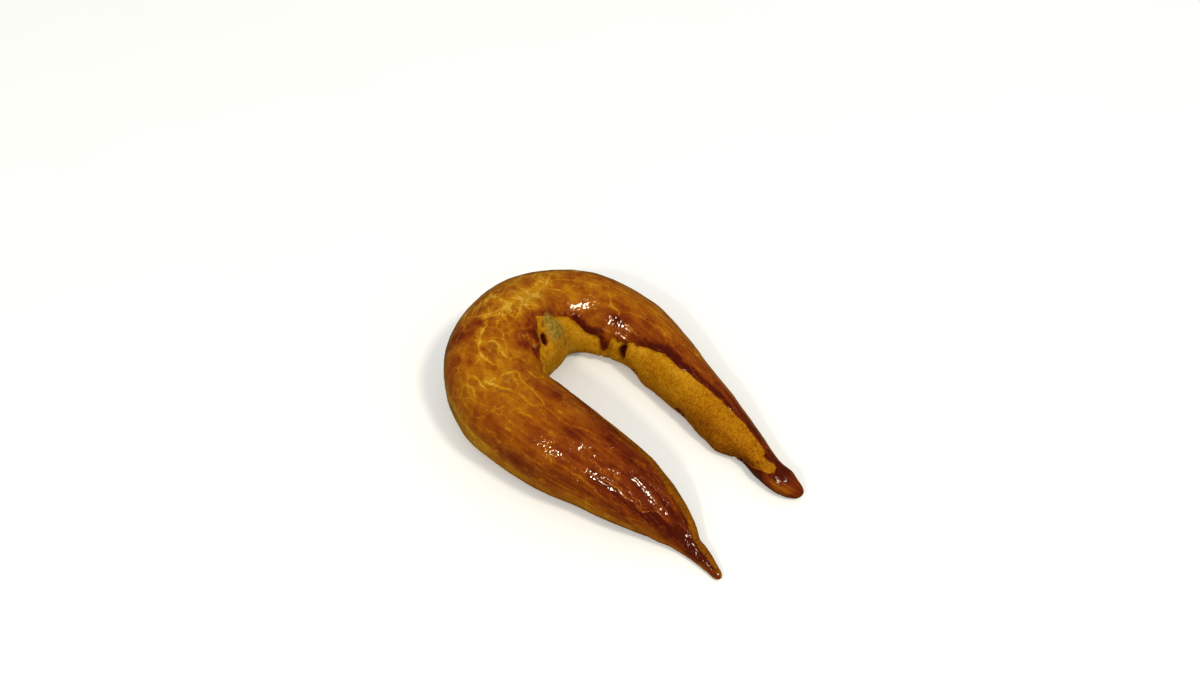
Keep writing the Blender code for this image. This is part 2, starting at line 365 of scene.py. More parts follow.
def outward(points: np.ndarray) -> np.ndarray:
    """Unit normals of a skin, which face away from the dough.

    Args:
        points: Points as rings x shares x 3, with the first and last share in one place.

    Returns:
        Normals in the same layout.
    """
    lengthwise = np.gradient(points, axis=0)
    wrapped = np.concatenate((points[:, -2:-1], points, points[:, 1:2]), axis=1)
    crosswise = (wrapped[:, 2:] - wrapped[:, :-2]) / 2.0
    normals = np.cross(crosswise, lengthwise)
    return normals / np.maximum(np.linalg.norm(normals, axis=2), NO_LENGTH)[..., None]


# ---------------------------------------------------------------------------------------------------------
# Dents, cracks and coloured marks
# ---------------------------------------------------------------------------------------------------------


@dataclass(frozen=True)
class Dent:
    """A smooth oval hollow in the crust, or a bump where the depth is negative."""

    along: float
    around: float
    length: float  # half length and half width of the oval
    width: float
    depth: float
    turn: float = 0.0  # degrees from lengthwise, turning down the inner side


@dataclass(frozen=True)
class Patch:
    """A soft oval of one kind of mark."""

    kind: Mark
    along: float
    around: float
    length: float
    width: float
    strength: float
    turn: float = 0.0


@dataclass(frozen=True)
class Stroke:
    """A soft line of one kind of mark through a few places on the skin."""

    kind: Mark
    width: float  # half width in millimetres
    strength: float
    places: tuple[tuple[float, float], ...]


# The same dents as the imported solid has, as along, around, length, width, depth and perhaps turn.
DENTS = tuple(
    Dent(*row)
    for row in (
        # Fold of the inner bend, where the pale dough swells out from under the glazed crust.
        (107.5, 0.645, 5.0, 1.7, 1.5, 102.0),
        (100.5, 0.64, 6.0, 3.0, -0.3, 102.0),
        (113.5, 0.685, 6.5, 3.2, -0.8, 85.0),
        (120.0, 0.73, 7.5, 1.7, 0.5, 80.0),
        (92.0, 0.66, 5.0, 1.6, 0.4, 135.0),
        # Corner of the foot under the bend, the run of glaze and the burst blister beside it.
        (117.0, 0.80, 5.0, 4.0, -0.9),
        (142.0, 0.81, 4.5, 3.5, -0.7),
        (147.0, 0.76, 5.0, 1.8, -0.45, 90.0),
        (155.0, 0.735, 3.2, 1.5, 1.0, 90.0),
        # Blistered ring and open cracks on top of the bend.
        (91.5, 0.495, 3.4, 2.8, 0.75),
        (90.0, 0.45, 4.5, 1.4, -0.3),
        (79.0, 0.468, 4.5, 1.8, 0.5, 115.0),
        (117.0, 0.515, 6.0, 2.2, 0.45),
        (106.0, 0.43, 6.0, 1.8, 0.35, 90.0),
        # Fold near the fat leg's tip, and the nick above it.
        (26.5, 0.36, 3.4, 1.6, 0.45),
        (25.5, 0.41, 3.0, 1.4, -0.35),
        (33.0, 0.47, 6.0, 3.0, -0.3),
        (12.0, 0.70, 2.0, 2.5, 0.7),
        # Uneven foot of the slim leg, with its burnt crumbs, and the flattened end.
        (130.5, 0.82, 4.0, 3.5, 0.4),
        (159.0, 0.82, 4.0, 3.5, 0.8),
        (166.5, 0.82, 3.0, 3.5, -0.5),
        (182.5, 0.80, 3.0, 3.0, 0.5),
        (191.0, 0.82, 3.0, 3.5, -0.3),
        (197.5, 0.82, 3.5, 3.5, -1.0),
        (206.5, 0.80, 4.0, 3.5, 0.9),
        (213.0, 0.56, 3.0, 2.6, -0.35),
        (221.0, 0.33, 2.4, 2.5, -0.4),
    )
)

# Small blisters and flat places of the glaze that only the dressed skin has.
BLISTERS = tuple(
    Dent(*row)
    for row in (
        (19.8, 0.425, 3.0, 2.2, -0.5),
        (31.0, 0.46, 5.0, 4.2, 0.42),
        (61.5, 0.40, 3.2, 2.6, -0.25),
        (53.5, 0.386, 6.0, 5.0, -0.5),
        (11.8, 0.48, 1.7, 2.0, -0.22),
        (9.0, 0.465, 1.3, 1.8, 0.22),
        (5.6, 0.455, 1.5, 1.6, -0.18),
    )
)

def mark_of(kind: Mark, row: tuple | list) -> Stroke | Patch:
    """Reads a row of one of the tables below.

    Args:
        kind: What the mark does.
        row: Half width, strength and places of a stroke, or else along, around, length, width, strength and
            perhaps turn of a patch.

    Returns:
        The mark.
    """
    if isinstance(row[-1], tuple):
        width, strength, *places = row
        return Stroke(kind, width, strength, tuple(places))
    return Patch(kind, *row)


# A crack takes the first layer that is free of close neighbours, so the order of these rows counts.
CRACKS = tuple(
    mark_of(Mark.CRACK, row)
    for row in (
        # Forked crack over the outer side of the bend, and the stretched zone beside it.
        (0.40, 1.0, (126.0, 0.43), (125.0, 0.46), (123.5, 0.49), (122.5, 0.515)),
        (0.32, 0.9, (123.0, 0.50), (124.0, 0.513), (127.5, 0.533), (130.0, 0.562)),
        (0.60, 0.7, (123.0, 0.495), (120.5, 0.508), (118.5, 0.522), (115.0, 0.53)),
        (0.38, 0.9, (109.5, 0.465), (110.5, 0.485), (112.0, 0.505), (114.0, 0.53)),
        (0.70, 0.5, (111.0, 0.50), (108.0, 0.505), (106.0, 0.518), (105.0, 0.517)),
        (0.38, 0.8, (101.5, 0.435), (101.5, 0.465), (103.0, 0.485), (104.0, 0.51)),
        (0.34, 0.6, (107.5, 0.39), (105.0, 0.408), (102.5, 0.416), (101.0, 0.424)),
        # Two rings round the burst blister on top.
        (0.58, 1.1, (99.0, 0.474), (95.0, 0.463), (91.5, 0.456), (89.5, 0.465), (88.0, 0.477), (85.5, 0.50)),
        (0.45, 1.0, (94.0, 0.482), (94.0, 0.498), (92.0, 0.522), (88.5, 0.536), (86.5, 0.554)),
        (0.36, 0.6, (95.0, 0.50), (95.0, 0.52), (94.0, 0.542), (90.5, 0.549)),
        (0.34, 0.5, (100.5, 0.522), (98.0, 0.525), (96.0, 0.536), (93.5, 0.542)),
        (0.34, 0.8, (88.0, 0.577), (87.0, 0.588), (86.0, 0.60), (84.0, 0.611)),
        (0.45, 1.2, (80.0, 0.583), (78.5, 0.592), (76.0, 0.587), (75.0, 0.586)),
        # The long crack from the blister down the fat leg, and the pale streak beside it.
        (
            0.42, 0.85,
            (82.0, 0.486), (81.5, 0.526), (81.0, 0.545), (77.5, 0.54),
            (74.0, 0.527), (70.0, 0.526), (65.0, 0.503),
        ),
        (0.40, 0.6, (65.0, 0.503), (59.0, 0.495), (55.0, 0.494), (53.0, 0.51), (50.0, 0.517)),
        (0.55, 0.35, (50.0, 0.517), (47.5, 0.503), (43.5, 0.50), (36.0, 0.493)),
        (0.50, 1.0, (86.5, 0.404), (84.5, 0.424), (81.5, 0.426), (80.5, 0.43)),
        (0.80, 1.15, (82.2, 0.44), (79.9, 0.463), (77.7, 0.474), (75.2, 0.484)),
        (0.60, 0.9, (75.0, 0.486), (73.0, 0.488), (71.3, 0.487), (68.7, 0.477)),
        (0.35, 0.6, (83.5, 0.45), (82.5, 0.457), (81.5, 0.454)),
        # Web of small cracks on the outer side of the bend and the fat leg.
        (0.40, 0.5, (86.0, 0.30), (84.0, 0.333), (82.0, 0.369), (79.0, 0.387), (78.0, 0.397)),
        (0.35, 0.4, (82.0, 0.369), (83.0, 0.375), (85.0, 0.382)),
        (0.35, 0.4, (88.5, 0.342), (87.0, 0.322), (86.5, 0.298)),
        (0.30, 0.7, (79.5, 0.325), (77.5, 0.356), (76.0, 0.40), (74.5, 0.434), (74.5, 0.446)),
        (0.30, 0.6, (76.0, 0.389), (74.5, 0.395), (72.5, 0.398), (70.5, 0.401)),
        (0.35, 0.6, (70.5, 0.418), (70.0, 0.432), (67.0, 0.444), (65.0, 0.446)),
        (0.35, 0.7, (69.5, 0.477), (68.0, 0.481), (67.0, 0.496), (65.5, 0.504)),
        # Web of cracks where the slim leg leaves the bend.
        (0.45, 0.5, (126.0, 0.472), (132.0, 0.478), (138.0, 0.477), (140.0, 0.468)),
        (0.30, 0.5, (134.5, 0.493), (135.0, 0.517), (135.0, 0.53)),
        (0.30, 0.5, (139.0, 0.505), (140.0, 0.523), (139.5, 0.543)),
        (0.30, 0.6, (134.5, 0.548), (136.5, 0.541), (138.5, 0.535)),
        (0.42, 0.7, (141.5, 0.487), (143.5, 0.519), (144.5, 0.547), (149.0, 0.56)),
        (0.35, 0.5, (142.0, 0.454), (144.5, 0.446), (149.0, 0.441)),
        (0.40, 0.6, (148.5, 0.558), (151.5, 0.532), (158.0, 0.504), (163.5, 0.474)),
        (0.35, 0.5, (152.0, 0.47), (154.0, 0.496), (156.5, 0.495)),
        (0.30, 0.4, (163.5, 0.483), (164.0, 0.419), (162.5, 0.346)),
        (0.30, 0.6, (167.0, 0.56), (166.5, 0.533), (165.0, 0.50)),
        (0.50, 0.4, (149.0, 0.467), (157.5, 0.423), (163.0, 0.40), (169.0, 0.376)),
        (0.50, 0.4, (159.0, 0.45), (163.5, 0.433), (169.0, 0.421), (175.0, 0.396)),
        # Lengthwise stretch marks of the fat leg, and the fold that curls back near its tip.
        (0.30, 0.45, (65.0, 0.337), (60.5, 0.319), (56.0, 0.292), (54.0, 0.284), (46.0, 0.264)),
        (0.40, 0.8, (53.0, 0.361), (47.5, 0.35), (43.5, 0.343), (36.5, 0.315)),
        (0.38, 1.1, (41.0, 0.391), (35.0, 0.393), (29.5, 0.379), (27.0, 0.37), (24.5, 0.409)),
        (0.30, 0.4, (57.5, 0.30), (57.0, 0.254), (57.5, 0.205)),
        (0.50, 0.3, (56.0, 0.242), (51.5, 0.247), (45.0, 0.246), (32.0, 0.275)),
    )
)

STAINS = tuple(
    mark_of(kind, row)
    for kind, *row in (
        # Deep slit where the bare dough leaves the crust, and the creases before it: their dark colour is
        # painted shade.
        (
            Mark.CHAR_AND_HOLE_SHADE, 0.42, 0.62,
            (113.4, 0.607), (112.0, 0.615), (111.0, 0.621), (110.2, 0.631), (109.2, 0.645),
        ),
        (
            Mark.CHAR_AND_HOLE_SHADE, 0.78, 1.05,
            (109.6, 0.640), (108.6, 0.656), (107.7, 0.670), (106.9, 0.684), (106.0, 0.70),
        ),
        (Mark.CHAR_AND_HOLE_SHADE, 0.55, 0.55, (99.5, 0.622), (97.0, 0.631), (94.0, 0.652), (91.0, 0.67), (88.0, 0.688)),
        # Rough flap of dough beside the slit: its far side stands up, and its top is grey.
        (Mark.FOLD, 1.0, 0.7, (112.0, 0.612), (115.0, 0.625), (117.0, 0.66), (118.0, 0.70), (120.0, 0.75)),
        (
            Mark.OLIVE, 2.9, 1.5,
            (111.3, 0.612), (113.0, 0.624), (114.4, 0.642), (115.2, 0.668), (115.4, 0.70),
        ),
        (
            Mark.OLIVE, 0.85, 1.3,
            (112.0, 0.613), (114.6, 0.622), (116.5, 0.638), (117.7, 0.657), (118.6, 0.69), (118.8, 0.73),
            (119.5, 0.76),
        ),
        (Mark.OLIVE, 0.7, 0.7, (123.5, 0.72), (124.5, 0.746), (125.6, 0.775), (126.6, 0.81)),
        (Mark.OLIVE, 110.5, 0.69, 5.0, 3.0, 0.45, 90.0),
        # Burst blister beside the run of glaze, burnt and with painted shade in its hole, and a dark line
        # along the foot of the slim leg's tip.
        (Mark.CHAR_AND_HOLE_SHADE, 155.2, 0.742, 1.4, 3.8, 1.15),
        (Mark.CHAR_AND_HOLE_SHADE, 0.80, 0.6, (203.0, 0.81), (213.0, 0.82), (222.0, 0.81)),
        # Greenish bloom on the blister's floor and in the stretched zones.
        (Mark.OLIVE, 91.0, 0.50, 3.2, 2.4, 0.45),
        (Mark.OLIVE, 79.5, 0.505, 2.6, 1.8, 0.45),
        (Mark.OLIVE, 113.0, 0.47, 2.6, 1.6, 0.5),
        (Mark.OLIVE, 73.5, 0.46, 5.0, 3.0, 0.25),
        # Dark specks.
        (Mark.CHAR_AND_HOLE_SHADE, 211.3, 0.615, 0.5, 0.5, 0.8),
        (Mark.CHAR_AND_HOLE_SHADE, 156.0, 0.503, 0.7, 0.5, 0.7),
        (Mark.CHAR_AND_HOLE_SHADE, 132.7, 0.624, 0.8, 0.6, 0.5),
        # Finely wrinkled glaze.
        (Mark.ROUGH, 58.0, 0.39, 15.0, 7.0, 1.0),
        (Mark.ROUGH, 8.0, 0.43, 8.0, 5.0, 0.8),
        (Mark.ROUGH, 133.0, 0.60, 5.0, 4.0, 0.35),
        (Mark.ROUGH, 145.0, 0.62, 6.0, 4.0, 0.9),
    )
)

TONES = tuple(
    mark_of(Mark.BROWN, row)
    for row in (
        # Slim leg's tip: an amber strip through the dark glaze, and a paler crown.
        (223.5, 0.52, 3.0, 2.4, -0.16),
        (213.0, 0.74, 5.0, 1.6, 0.15),
        (218.0, 0.59, 4.5, 2.2, 0.12),
        (210.5, 0.69, 3.5, 2.0, 0.20),
        (1.4, -0.34, (213.5, 0.665), (217.0, 0.668), (220.5, 0.672), (223.5, 0.67)),
        # Fat leg: dark crown towards the tip, with an amber streak between.
        (2.4, -0.05, (46.0, 0.58), (38.0, 0.57), (30.0, 0.58), (20.0, 0.56)),
        (1.0, -0.15, (53.0, 0.485), (45.0, 0.485), (36.0, 0.474)),
        (1.9, 0.25, (46.0, 0.378), (41.0, 0.37), (33.5, 0.366), (28.5, 0.366), (22.0, 0.36), (16.0, 0.36)),
        (1.6, 0.22, (14.0, 0.37), (11.0, 0.38), (5.5, 0.385)),
        # Paler stroke over the crown near the fat leg's tip: partly amber crust, partly painted highlight.
        (1.4, -0.18, (27.0, 0.475), (20.0, 0.435), (15.0, 0.455)),
        (44.0, 0.525, 3.5, 1.8, 0.12),
        (63.5, 0.575, 4.0, 2.2, 0.20),
        (69.6, 0.414, 4.0, 2.4, -0.10),
        (81.0, 0.435, 4.5, 2.6, -0.10),
        (55.5, 0.548, 6.0, 2.6, -0.30),
        (24.0, 0.352, 7.0, 1.9, 0.10),
        (13.0, 0.40, 7.0, 3.0, 0.15),
        # Glaze that has pooled and baked dark along its edge under the bend.
        (1.5, 0.34, (129.5, 0.625), (133.5, 0.655), (138.0, 0.69), (142.0, 0.69), (146.5, 0.70)),
        (1.3, 0.3, (145.5, 0.68), (146.5, 0.72), (147.0, 0.78)),
        # Yellow stretched zones of the bend, with two paler places on it that are partly painted highlight.
        (119.0, 0.51, 5.5, 3.5, -0.20),
        # Partly the bend's own yellow, partly painted highlight.
        (129.7, 0.555, 3.0, 2.0, -0.18),
        (109.0, 0.50, 4.5, 3.0, -0.20),
        (75.0, 0.46, 7.0, 4.0, -0.12),
        (112.0, 0.57, 2.5, 2.5, -0.15),
        (73.0, 0.585, 3.0, 2.0, -0.15),
        (58.5, 0.595, 6.0, 2.2, -0.22),
        # Paler right side of the bend: partly its own colour, partly painted highlight.
        (142.0, 0.54, 5.0, 4.0, -0.12),
        (82.0, 0.363, 3.5, 3.0, -0.10),
        (1.8, -0.20, (97.0, 0.262), (84.0, 0.265), (70.0, 0.25)),
        (3.0, 0.06, (70.0, 0.285), (58.0, 0.28), (41.6, 0.275), (28.0, 0.30)),
        # Darker islands.
        (96.5, 0.39, 4.5, 2.8, 0.44, 90.0),
        (99.5, 0.44, 2.5, 2.2, 0.30),
        (107.3, 0.53, 2.6, 2.0, 0.28),
        (116.0, 0.468, 4.0, 1.8, 0.14),
        (127.0, 0.474, 4.5, 1.8, 0.18),
        (132.0, 0.512, 3.0, 1.8, 0.12),
        (146.7, 0.518, 3.0, 2.0, 0.12),
        (173.0, 0.518, 5.0, 1.6, 0.24),
        (102.5, 0.49, 2.5, 2.0, 0.15),
        (90.5, 0.35, 2.6, 2.6, 0.24),
        (91.5, 0.43, 2.2, 2.2, 0.28),
        (102.0, 0.615, 4.5, 4.5, 0.42),
        (110.0, 0.45, 3.0, 3.0, 0.12),
        (77.0, 0.445, 4.0, 3.0, 0.14),
        (75.0, 0.346, 4.0, 3.0, 0.12),
        (64.0, 0.28, 9.0, 2.6, 0.18),
        (54.0, 0.47, 5.0, 2.5, 0.15),
        (149.0, 0.60, 3.0, 2.0, 0.25),
        (158.0, 0.50, 3.0, 2.0, 0.20),
        (168.0, 0.565, 4.0, 1.2, 0.22),
        (91.0, 0.50, 1.8, 1.4, 0.25),
        # Browner and paler places of the bare face.
        (190.0, 0.70, 6.0, 3.0, 0.22),
        (204.5, 0.76, 6.0, 2.5, 0.2),
        (197.0, 0.66, 9.0, 5.0, 0.06),
        (1.4, -0.16, (157.0, 0.68), (162.0, 0.645), (167.0, 0.605), (173.0, 0.59), (180.0, 0.56)),
    )
)


@dataclass
class CrustMarks:
    """Cracks, stains and changes of tone, painted on the skin in true millimetres.

    The mesh is too coarse to hold a hairline itself. So each crack is also kept as the distance to its left
    or right side, which the material turns into a sharp line. Cracks that come close to each other are kept
    in different layers.
    """

    form: LoafForm
    marks: tuple[Stroke | Patch, ...] = CRACKS + STAINS + TONES
    thickness: float = 4.0  # a patch fades out this far off its own place on the skin
    wander: float = 0.45  # lines stray this far from their path
    wander_length: float = 2.2
    wander_shifts: tuple[float, float, float] = (3.0, 17.0, 31.0)
    margin: float = 3.0  # a line is worked out this far to both sides
    end_fade: float = 2.0
    end_share: float = 0.35  # width and strength left at a line's end
    layers: int = CRACK_LAYERS
    apart: float = 1.6  # lines of one layer are this far apart
    far_off: float = 9.0  # side distance, in half widths, where there is no line
    fade_reach: float = 0.8  # a hairline has faded out this far beyond its half width

    def paint(self, points: np.ndarray) -> dict[str, np.ndarray]:
        """Works out every kind of mark.

        Args:
            points: Points of the plain skin, as rings x shares x 3.

        Returns:
            For each attribute, its value at each point.
        """
        fields = {kind.value: np.zeros(points.shape[:2]) for kind in Mark}
        for layer in range(self.layers):
            fields[f"side{layer}"] = np.full(points.shape[:2], self.far_off)
            fields[f"crack{layer}"] = np.zeros(points.shape[:2])
        strayed = points + self.wander * np.stack(
            [noise_field(points, (self.wander_length,) * 3, shift) for shift in self.wander_shifts], axis=-1
        )
        normals = outward(points)
        taken: list[list[np.ndarray]] = [[] for _ in range(self.layers)]
        for mark in self.marks:
            if isinstance(mark, Patch):
                fields[mark.kind.value] += mark.strength * oval(self.form, mark, strayed, self.thickness)
                continue
            path = self.form.path(mark.places)
            near, side, taper = self.beside(path, strayed, normals)
            self.add_soft_line(fields[mark.kind.value], mark, near, np.abs(side), taper)
            if mark.kind is Mark.CRACK:
                layer = self.free_layer(taken, path)
                sides, strengths = fields[f"side{layer}"], fields[f"crack{layer}"]
                self.add_sharp_line(sides, strengths, mark, near, side, taper)
        return fields

    def free_layer(self, taken: list[list[np.ndarray]], path: np.ndarray) -> int:
        """Finds the layer whose lines stay furthest from a new one, and adds it there.

        Args:
            taken: Lines of each layer so far.
            path: The new line's points.

        Returns:
            Number of the layer.
        """
        gaps = []
        for lines in taken:
            gap = [np.linalg.norm(line[:, None] - path[None], axis=2).min() for line in lines]
            gaps.append(min(gap, default=math.inf))
            if gaps[-1] > self.apart:
                break
        layer = int(np.argmax(gaps))
        taken[layer].append(path)
        return layer

    def beside(
        self, path: np.ndarray, points: np.ndarray, normals: np.ndarray
    ) -> tuple[np.ndarray, np.ndarray, np.ndarray]:
        """Finds the skin beside a line.

        Args:
            path: The line's points.
            points: Points of the skin.
            normals: The skin's normals.

        Returns:
            Which points are near, their distance from the line, which is negative on its right, and how far
            the line has tapered there.
        """
        low, high = path.min(axis=0) - self.margin, path.max(axis=0) + self.margin
        near = np.all((points >= low) & (points <= high), axis=-1)
        spots, facing = points[near], normals[near]
        start, step = path[:-1], np.diff(path, axis=0)
        lengths = np.linalg.norm(step, axis=1)
        offset = spots[:, None, :] - start
        part = np.clip(np.einsum("nsk,sk->ns", offset, step) / np.maximum(lengths**2, NO_LENGTH), 0.0, 1.0)
        rest = offset - part[..., None] * step
        distance = np.linalg.norm(rest, axis=2)
        nearest = distance.argmin(axis=1)
        rows = np.arange(len(spots))
        turned = np.einsum("nk,nk->n", np.cross(step[nearest], rest[rows, nearest]), facing)
        walked = np.concatenate(([0.0], np.cumsum(lengths)))
        place = walked[nearest] + part[rows, nearest] * lengths[nearest]
        from_end = np.minimum(place, walked[-1] - place)
        taper = self.end_share + (1.0 - self.end_share) * ease(0.0, self.end_fade, from_end)
        return near, np.where(turned < 0.0, -1.0, 1.0) * distance[rows, nearest], taper

    def add_soft_line(
        self, target: np.ndarray, stroke: Stroke, near: np.ndarray, distance: np.ndarray, taper: np.ndarray
    ) -> None:
        """Adds the soft trace of a line to a field.

        Args:
            target: Field that is changed.
            stroke: The line.
            near: Which points are near the line.
            distance: Their distance from it.
            taper: How far the line has tapered there.
        """
        strength = stroke.strength * taper * np.exp(-((distance / (stroke.width * taper)) ** 2))
        if stroke.kind is Mark.BROWN:
            target[near] += strength
        else:
            target[near] = np.maximum(target[near], strength)

    def add_sharp_line(
        self,
        sides: np.ndarray,
        strengths: np.ndarray,
        stroke: Stroke,
        near: np.ndarray,
        side: np.ndarray,
        taper: np.ndarray,
    ) -> None:
        """Adds a hairline to a layer.

        Args:
            sides: The layer's distances, in half widths, with a sign for the side.
            strengths: The layer's strengths.
            stroke: The line.
            near: Which points are near the line.
            side: Their signed distance from it.
            taper: How far the line has tapered there.
        """
        closer = np.abs(side) < np.abs(sides[near]) * stroke.width
        halves = np.clip(side / stroke.width, -self.far_off, self.far_off)
        sides[near] = np.where(closer, halves, sides[near])
        fade = np.exp(-((side / (stroke.width + self.fade_reach)) ** 4))
        strengths[near] = np.where(closer, stroke.strength * taper * fade, strengths[near])


def oval(form: LoafForm, place: Dent | Patch, points: np.ndarray, thickness: float) -> np.ndarray:
    """A smooth oval hump on the skin, in true millimetres.

    Args:
        form: The loaf.
        place: Where the oval lies, how big it is and how it is turned.
        points: Points of the skin.
        thickness: The hump fades out this far off its own place on the skin.

    Returns:
        Numbers from 0 to 1, one for each point.
    """
    middle, axes = form.patch(place.along, place.around)
    lengthwise, crosswise, off = np.moveaxis((points - middle) @ axes.T, -1, 0)
    turn = np.radians(place.turn)
    along = (lengthwise * np.cos(turn) + crosswise * np.sin(turn)) / place.length
    across = (crosswise * np.cos(turn) - lengthwise * np.sin(turn)) / place.width
    return np.exp(-(along**2 + across**2 + (off / thickness) ** 2))


# ---------------------------------------------------------------------------------------------------------
# Edge of the glaze
# ---------------------------------------------------------------------------------------------------------

# Where the glaze ends on the inner face, as (along, around).
GLAZE_EDGE = (
    (0.0, 0.49), (9.0, 0.48), (12.0, 0.492), (16.0, 0.562), (18.0, 0.579), (25.0, 0.57), (29.0, 0.597),
    (34.0, 0.614), (44.0, 0.632), (60.0, 0.665), (75.0, 0.685), (90.0, 0.709), (92.5, 0.683),
    (99.5, 0.668), (104.0, 0.661), (107.0, 0.637), (109.5, 0.609), (111.0, 0.590), (112.5, 0.601),
    (119.0, 0.629), (128.0, 0.638), (130.8, 0.657), (132.6, 0.674), (134.6, 0.691), (136.4, 0.705),
    (140.0, 0.716), (143.0, 0.714), (144.4, 0.720), (145.1, 0.74), (145.7, 0.77), (146.8, 0.787),
    (148.3, 0.768), (149.1, 0.734), (149.3, 0.703), (150.0, 0.682), (151.0, 0.682), (152.0, 0.696),
    (153.5, 0.681), (155.5, 0.687), (157.0, 0.66), (158.5, 0.642), (160.0, 0.648), (161.0, 0.628),
    (164.0, 0.607), (168.5, 0.572), (172.0, 0.565), (175.5, 0.556), (178.5, 0.531), (183.0, 0.525),
    (187.0, 0.509), (190.5, 0.491), (195.0, 0.482), (199.0, 0.47), (205.0, 0.465), (208.5, 0.458),
    (210.7, 0.479), (211.3, 0.511), (213.0, 0.515), (214.8, 0.494), (216.0, 0.506), (217.5, 0.60),
    (219.0, 0.70), (226.0, 0.72),
)

# Near the slim leg's tip the glaze also comes up from below, and closes round the bare face.
FACE_END = (
    (0.0, 2.0), (200.0, 2.0), (203.0, 0.86), (207.5, 0.777), (210.5, 0.724), (213.0, 0.657),
    (215.5, 0.618), (217.5, 0.55), (226.0, 0.40),
)


@dataclass(frozen=True)
class Baking:
    """How dark the glazed crust is at one place along the roll: 0 is pale dough and 1 is nearly black."""

    along: float
    outer: float
    crown: float
    inner: float


BAKING = (
    Baking(0.0, 0.78, 0.86, 0.80),
    Baking(15.0, 0.80, 0.88, 0.80),
    Baking(28.0, 0.72, 0.76, 0.74),
    Baking(40.0, 0.70, 0.72, 0.76),
    Baking(55.0, 0.72, 0.68, 0.68),
    Baking(70.0, 0.66, 0.58, 0.58),
    Baking(85.0, 0.58, 0.47, 0.52),
    Baking(100.0, 0.60, 0.48, 0.54),
    Baking(112.0, 0.46, 0.40, 0.55),
    Baking(125.0, 0.46, 0.46, 0.60),
    Baking(140.0, 0.48, 0.50, 0.60),
    Baking(155.0, 0.46, 0.48, 0.62),
    Baking(165.0, 0.42, 0.46, 0.76),
    Baking(180.0, 0.42, 0.46, 0.85),
    Baking(200.0, 0.48, 0.64, 0.80),
    Baking(215.0, 0.56, 0.74, 0.78),
    Baking(226.0, 0.62, 0.78, 0.80),
)
# How much darker the glaze is where it has pooled along its edge, as (along, strength).
POOLS = (
    (0.0, 0.1), (30.0, 0.2), (60.0, 0.15), (100.0, 0.1), (108.0, 0.25), (125.0, 0.25), (131.0, 0.3),
    (140.0, 0.22), (146.0, 0.12), (158.0, 0.15), (163.0, 0.42), (214.0, 0.30), (226.0, 0.1),
)
BAKING_AROUND = (0.27, 0.45, 0.60)  # shares of the way round of the outer, crown and inner values
INNER_SIDE = (0.35, 0.42)  # shares of the way round between which what belongs to the inner side comes in


@dataclass
class GlazeEdge:
    """Where the egg wash ends: a crisp edge on the inner face and a soft one low on the outer side."""

    edge: tuple[tuple[float, float], ...] = GLAZE_EDGE
    face_end: tuple[tuple[float, float], ...] = FACE_END
    outer_edge: float = 0.20
    outer_softness: float = 0.2  # distances across the soft edge count this much
    blurred_to: float = 55.0  # the edge is soft from the fat leg's tip to here
    crisp_from: float = 80.0
    blurred: float = 0.3
    jitter: Wave = Wave(strength=0.35, length=2.4, shift=5.0)
    least_slope: float = 0.5
    end_count: float = 0.8  # distances from the end of the bare face count this much
    rim_height: float = 0.25
    rim_place: float = -0.9
    groove_depth: float = 0.45
    groove_place: float = 0.7
    edge_width: float = 0.8
    swell: float = 0.4  # the bare dough swells out again by this much
    swell_reach: float = 5.0
    bare_foot: float = 0.93
    bare_foot_fade: float = 0.08

    def beyond(
        self, points: np.ndarray, along: np.ndarray, shares: np.ndarray, girths: np.ndarray
    ) -> np.ndarray:
        """Distance of each point beyond the edge of the glaze, in millimetres, below zero on the glaze.

        Args:
            points: Points of the plain skin.
            along: Distance of each ring on the middle line.
            shares: Share of the way round of each point of a ring.
            girths: Girth of each ring.

        Returns:
            One distance for each point.
        """
        places, edges = np.array(self.edge).T
        girth = girths[:, None]
        inner = (shares[None, :] - np.interp(along, places, edges)[:, None]) * girth
        rates = []
        for k in (0, 1):
            spacing = np.linalg.norm(np.gradient(points, axis=k), axis=2)
            rates.append(np.gradient(inner, axis=k) / np.maximum(spacing, NO_LENGTH))
        inner = inner / np.maximum(np.hypot(*rates), self.least_slope)
        end_places, ends = np.array(self.face_end).T
        to_end = np.interp(along, end_places, ends)[:, None] - shares[None, :]
        inner = np.minimum(inner, to_end * girth * self.end_count)
        inner += self.jitter.over(points)
        inner *= self.crispness(along)[:, None]
        outer = (self.outer_edge - shares[None, :]) * girth * self.outer_softness
        return np.maximum(inner, outer)

    def crispness(self, along: np.ndarray) -> np.ndarray:
        """How much distances across the inner edge count: less where the edge is soft."""
        return self.blurred + (1.0 - self.blurred) * ease(self.blurred_to, self.crisp_from, along)

    def relief(self, beyond: np.ndarray, along: np.ndarray, shares: np.ndarray) -> np.ndarray:
        """The raised rim of the crust, and the bare dough that swells out of a groove beyond it.

        Args:
            beyond: Distance beyond the edge of the glaze.
            along: Distance of each ring on the middle line.
            shares: Share of the way round of each point of a ring.

        Returns:
            Height of the relief at each point.
        """
        inner_side = ease(*INNER_SIDE, shares)[None, :] * self.crispness(along)[:, None]
        beyond = beyond / self.crispness(along)[:, None]
        rim = self.rim_height * bell(beyond, self.rim_place, self.edge_width)
        groove = self.groove_depth * bell(beyond, self.groove_place, self.edge_width)
        foot_from = self.bare_foot - self.bare_foot_fade
        above_foot = 1.0 - ease(foot_from, self.bare_foot, shares)[None, :]
        swell = self.swell * ease(0.0, self.swell_reach, beyond) * above_foot
        return (rim - groove + swell) * inner_side


# ---------------------------------------------------------------------------------------------------------
# Node groups and materials
# ---------------------------------------------------------------------------------------------------------

Colour = tuple[float, float, float]
Grade = tuple[float, float]  # length of a wave of tone in millimetres, and its strength
Socket = bpy.types.NodeSocket


def linear(red: int, green: int, blue: int) -> Colour:
    """A screen colour of 0 to 255 as the linear colour that Blender's sockets hold."""
    shares = [part / 255 for part in (red, green, blue)]
    return tuple(((s + 0.055) / 1.055) ** 2.4 if s > 10 / 255 else s / 12.92 for s in shares)


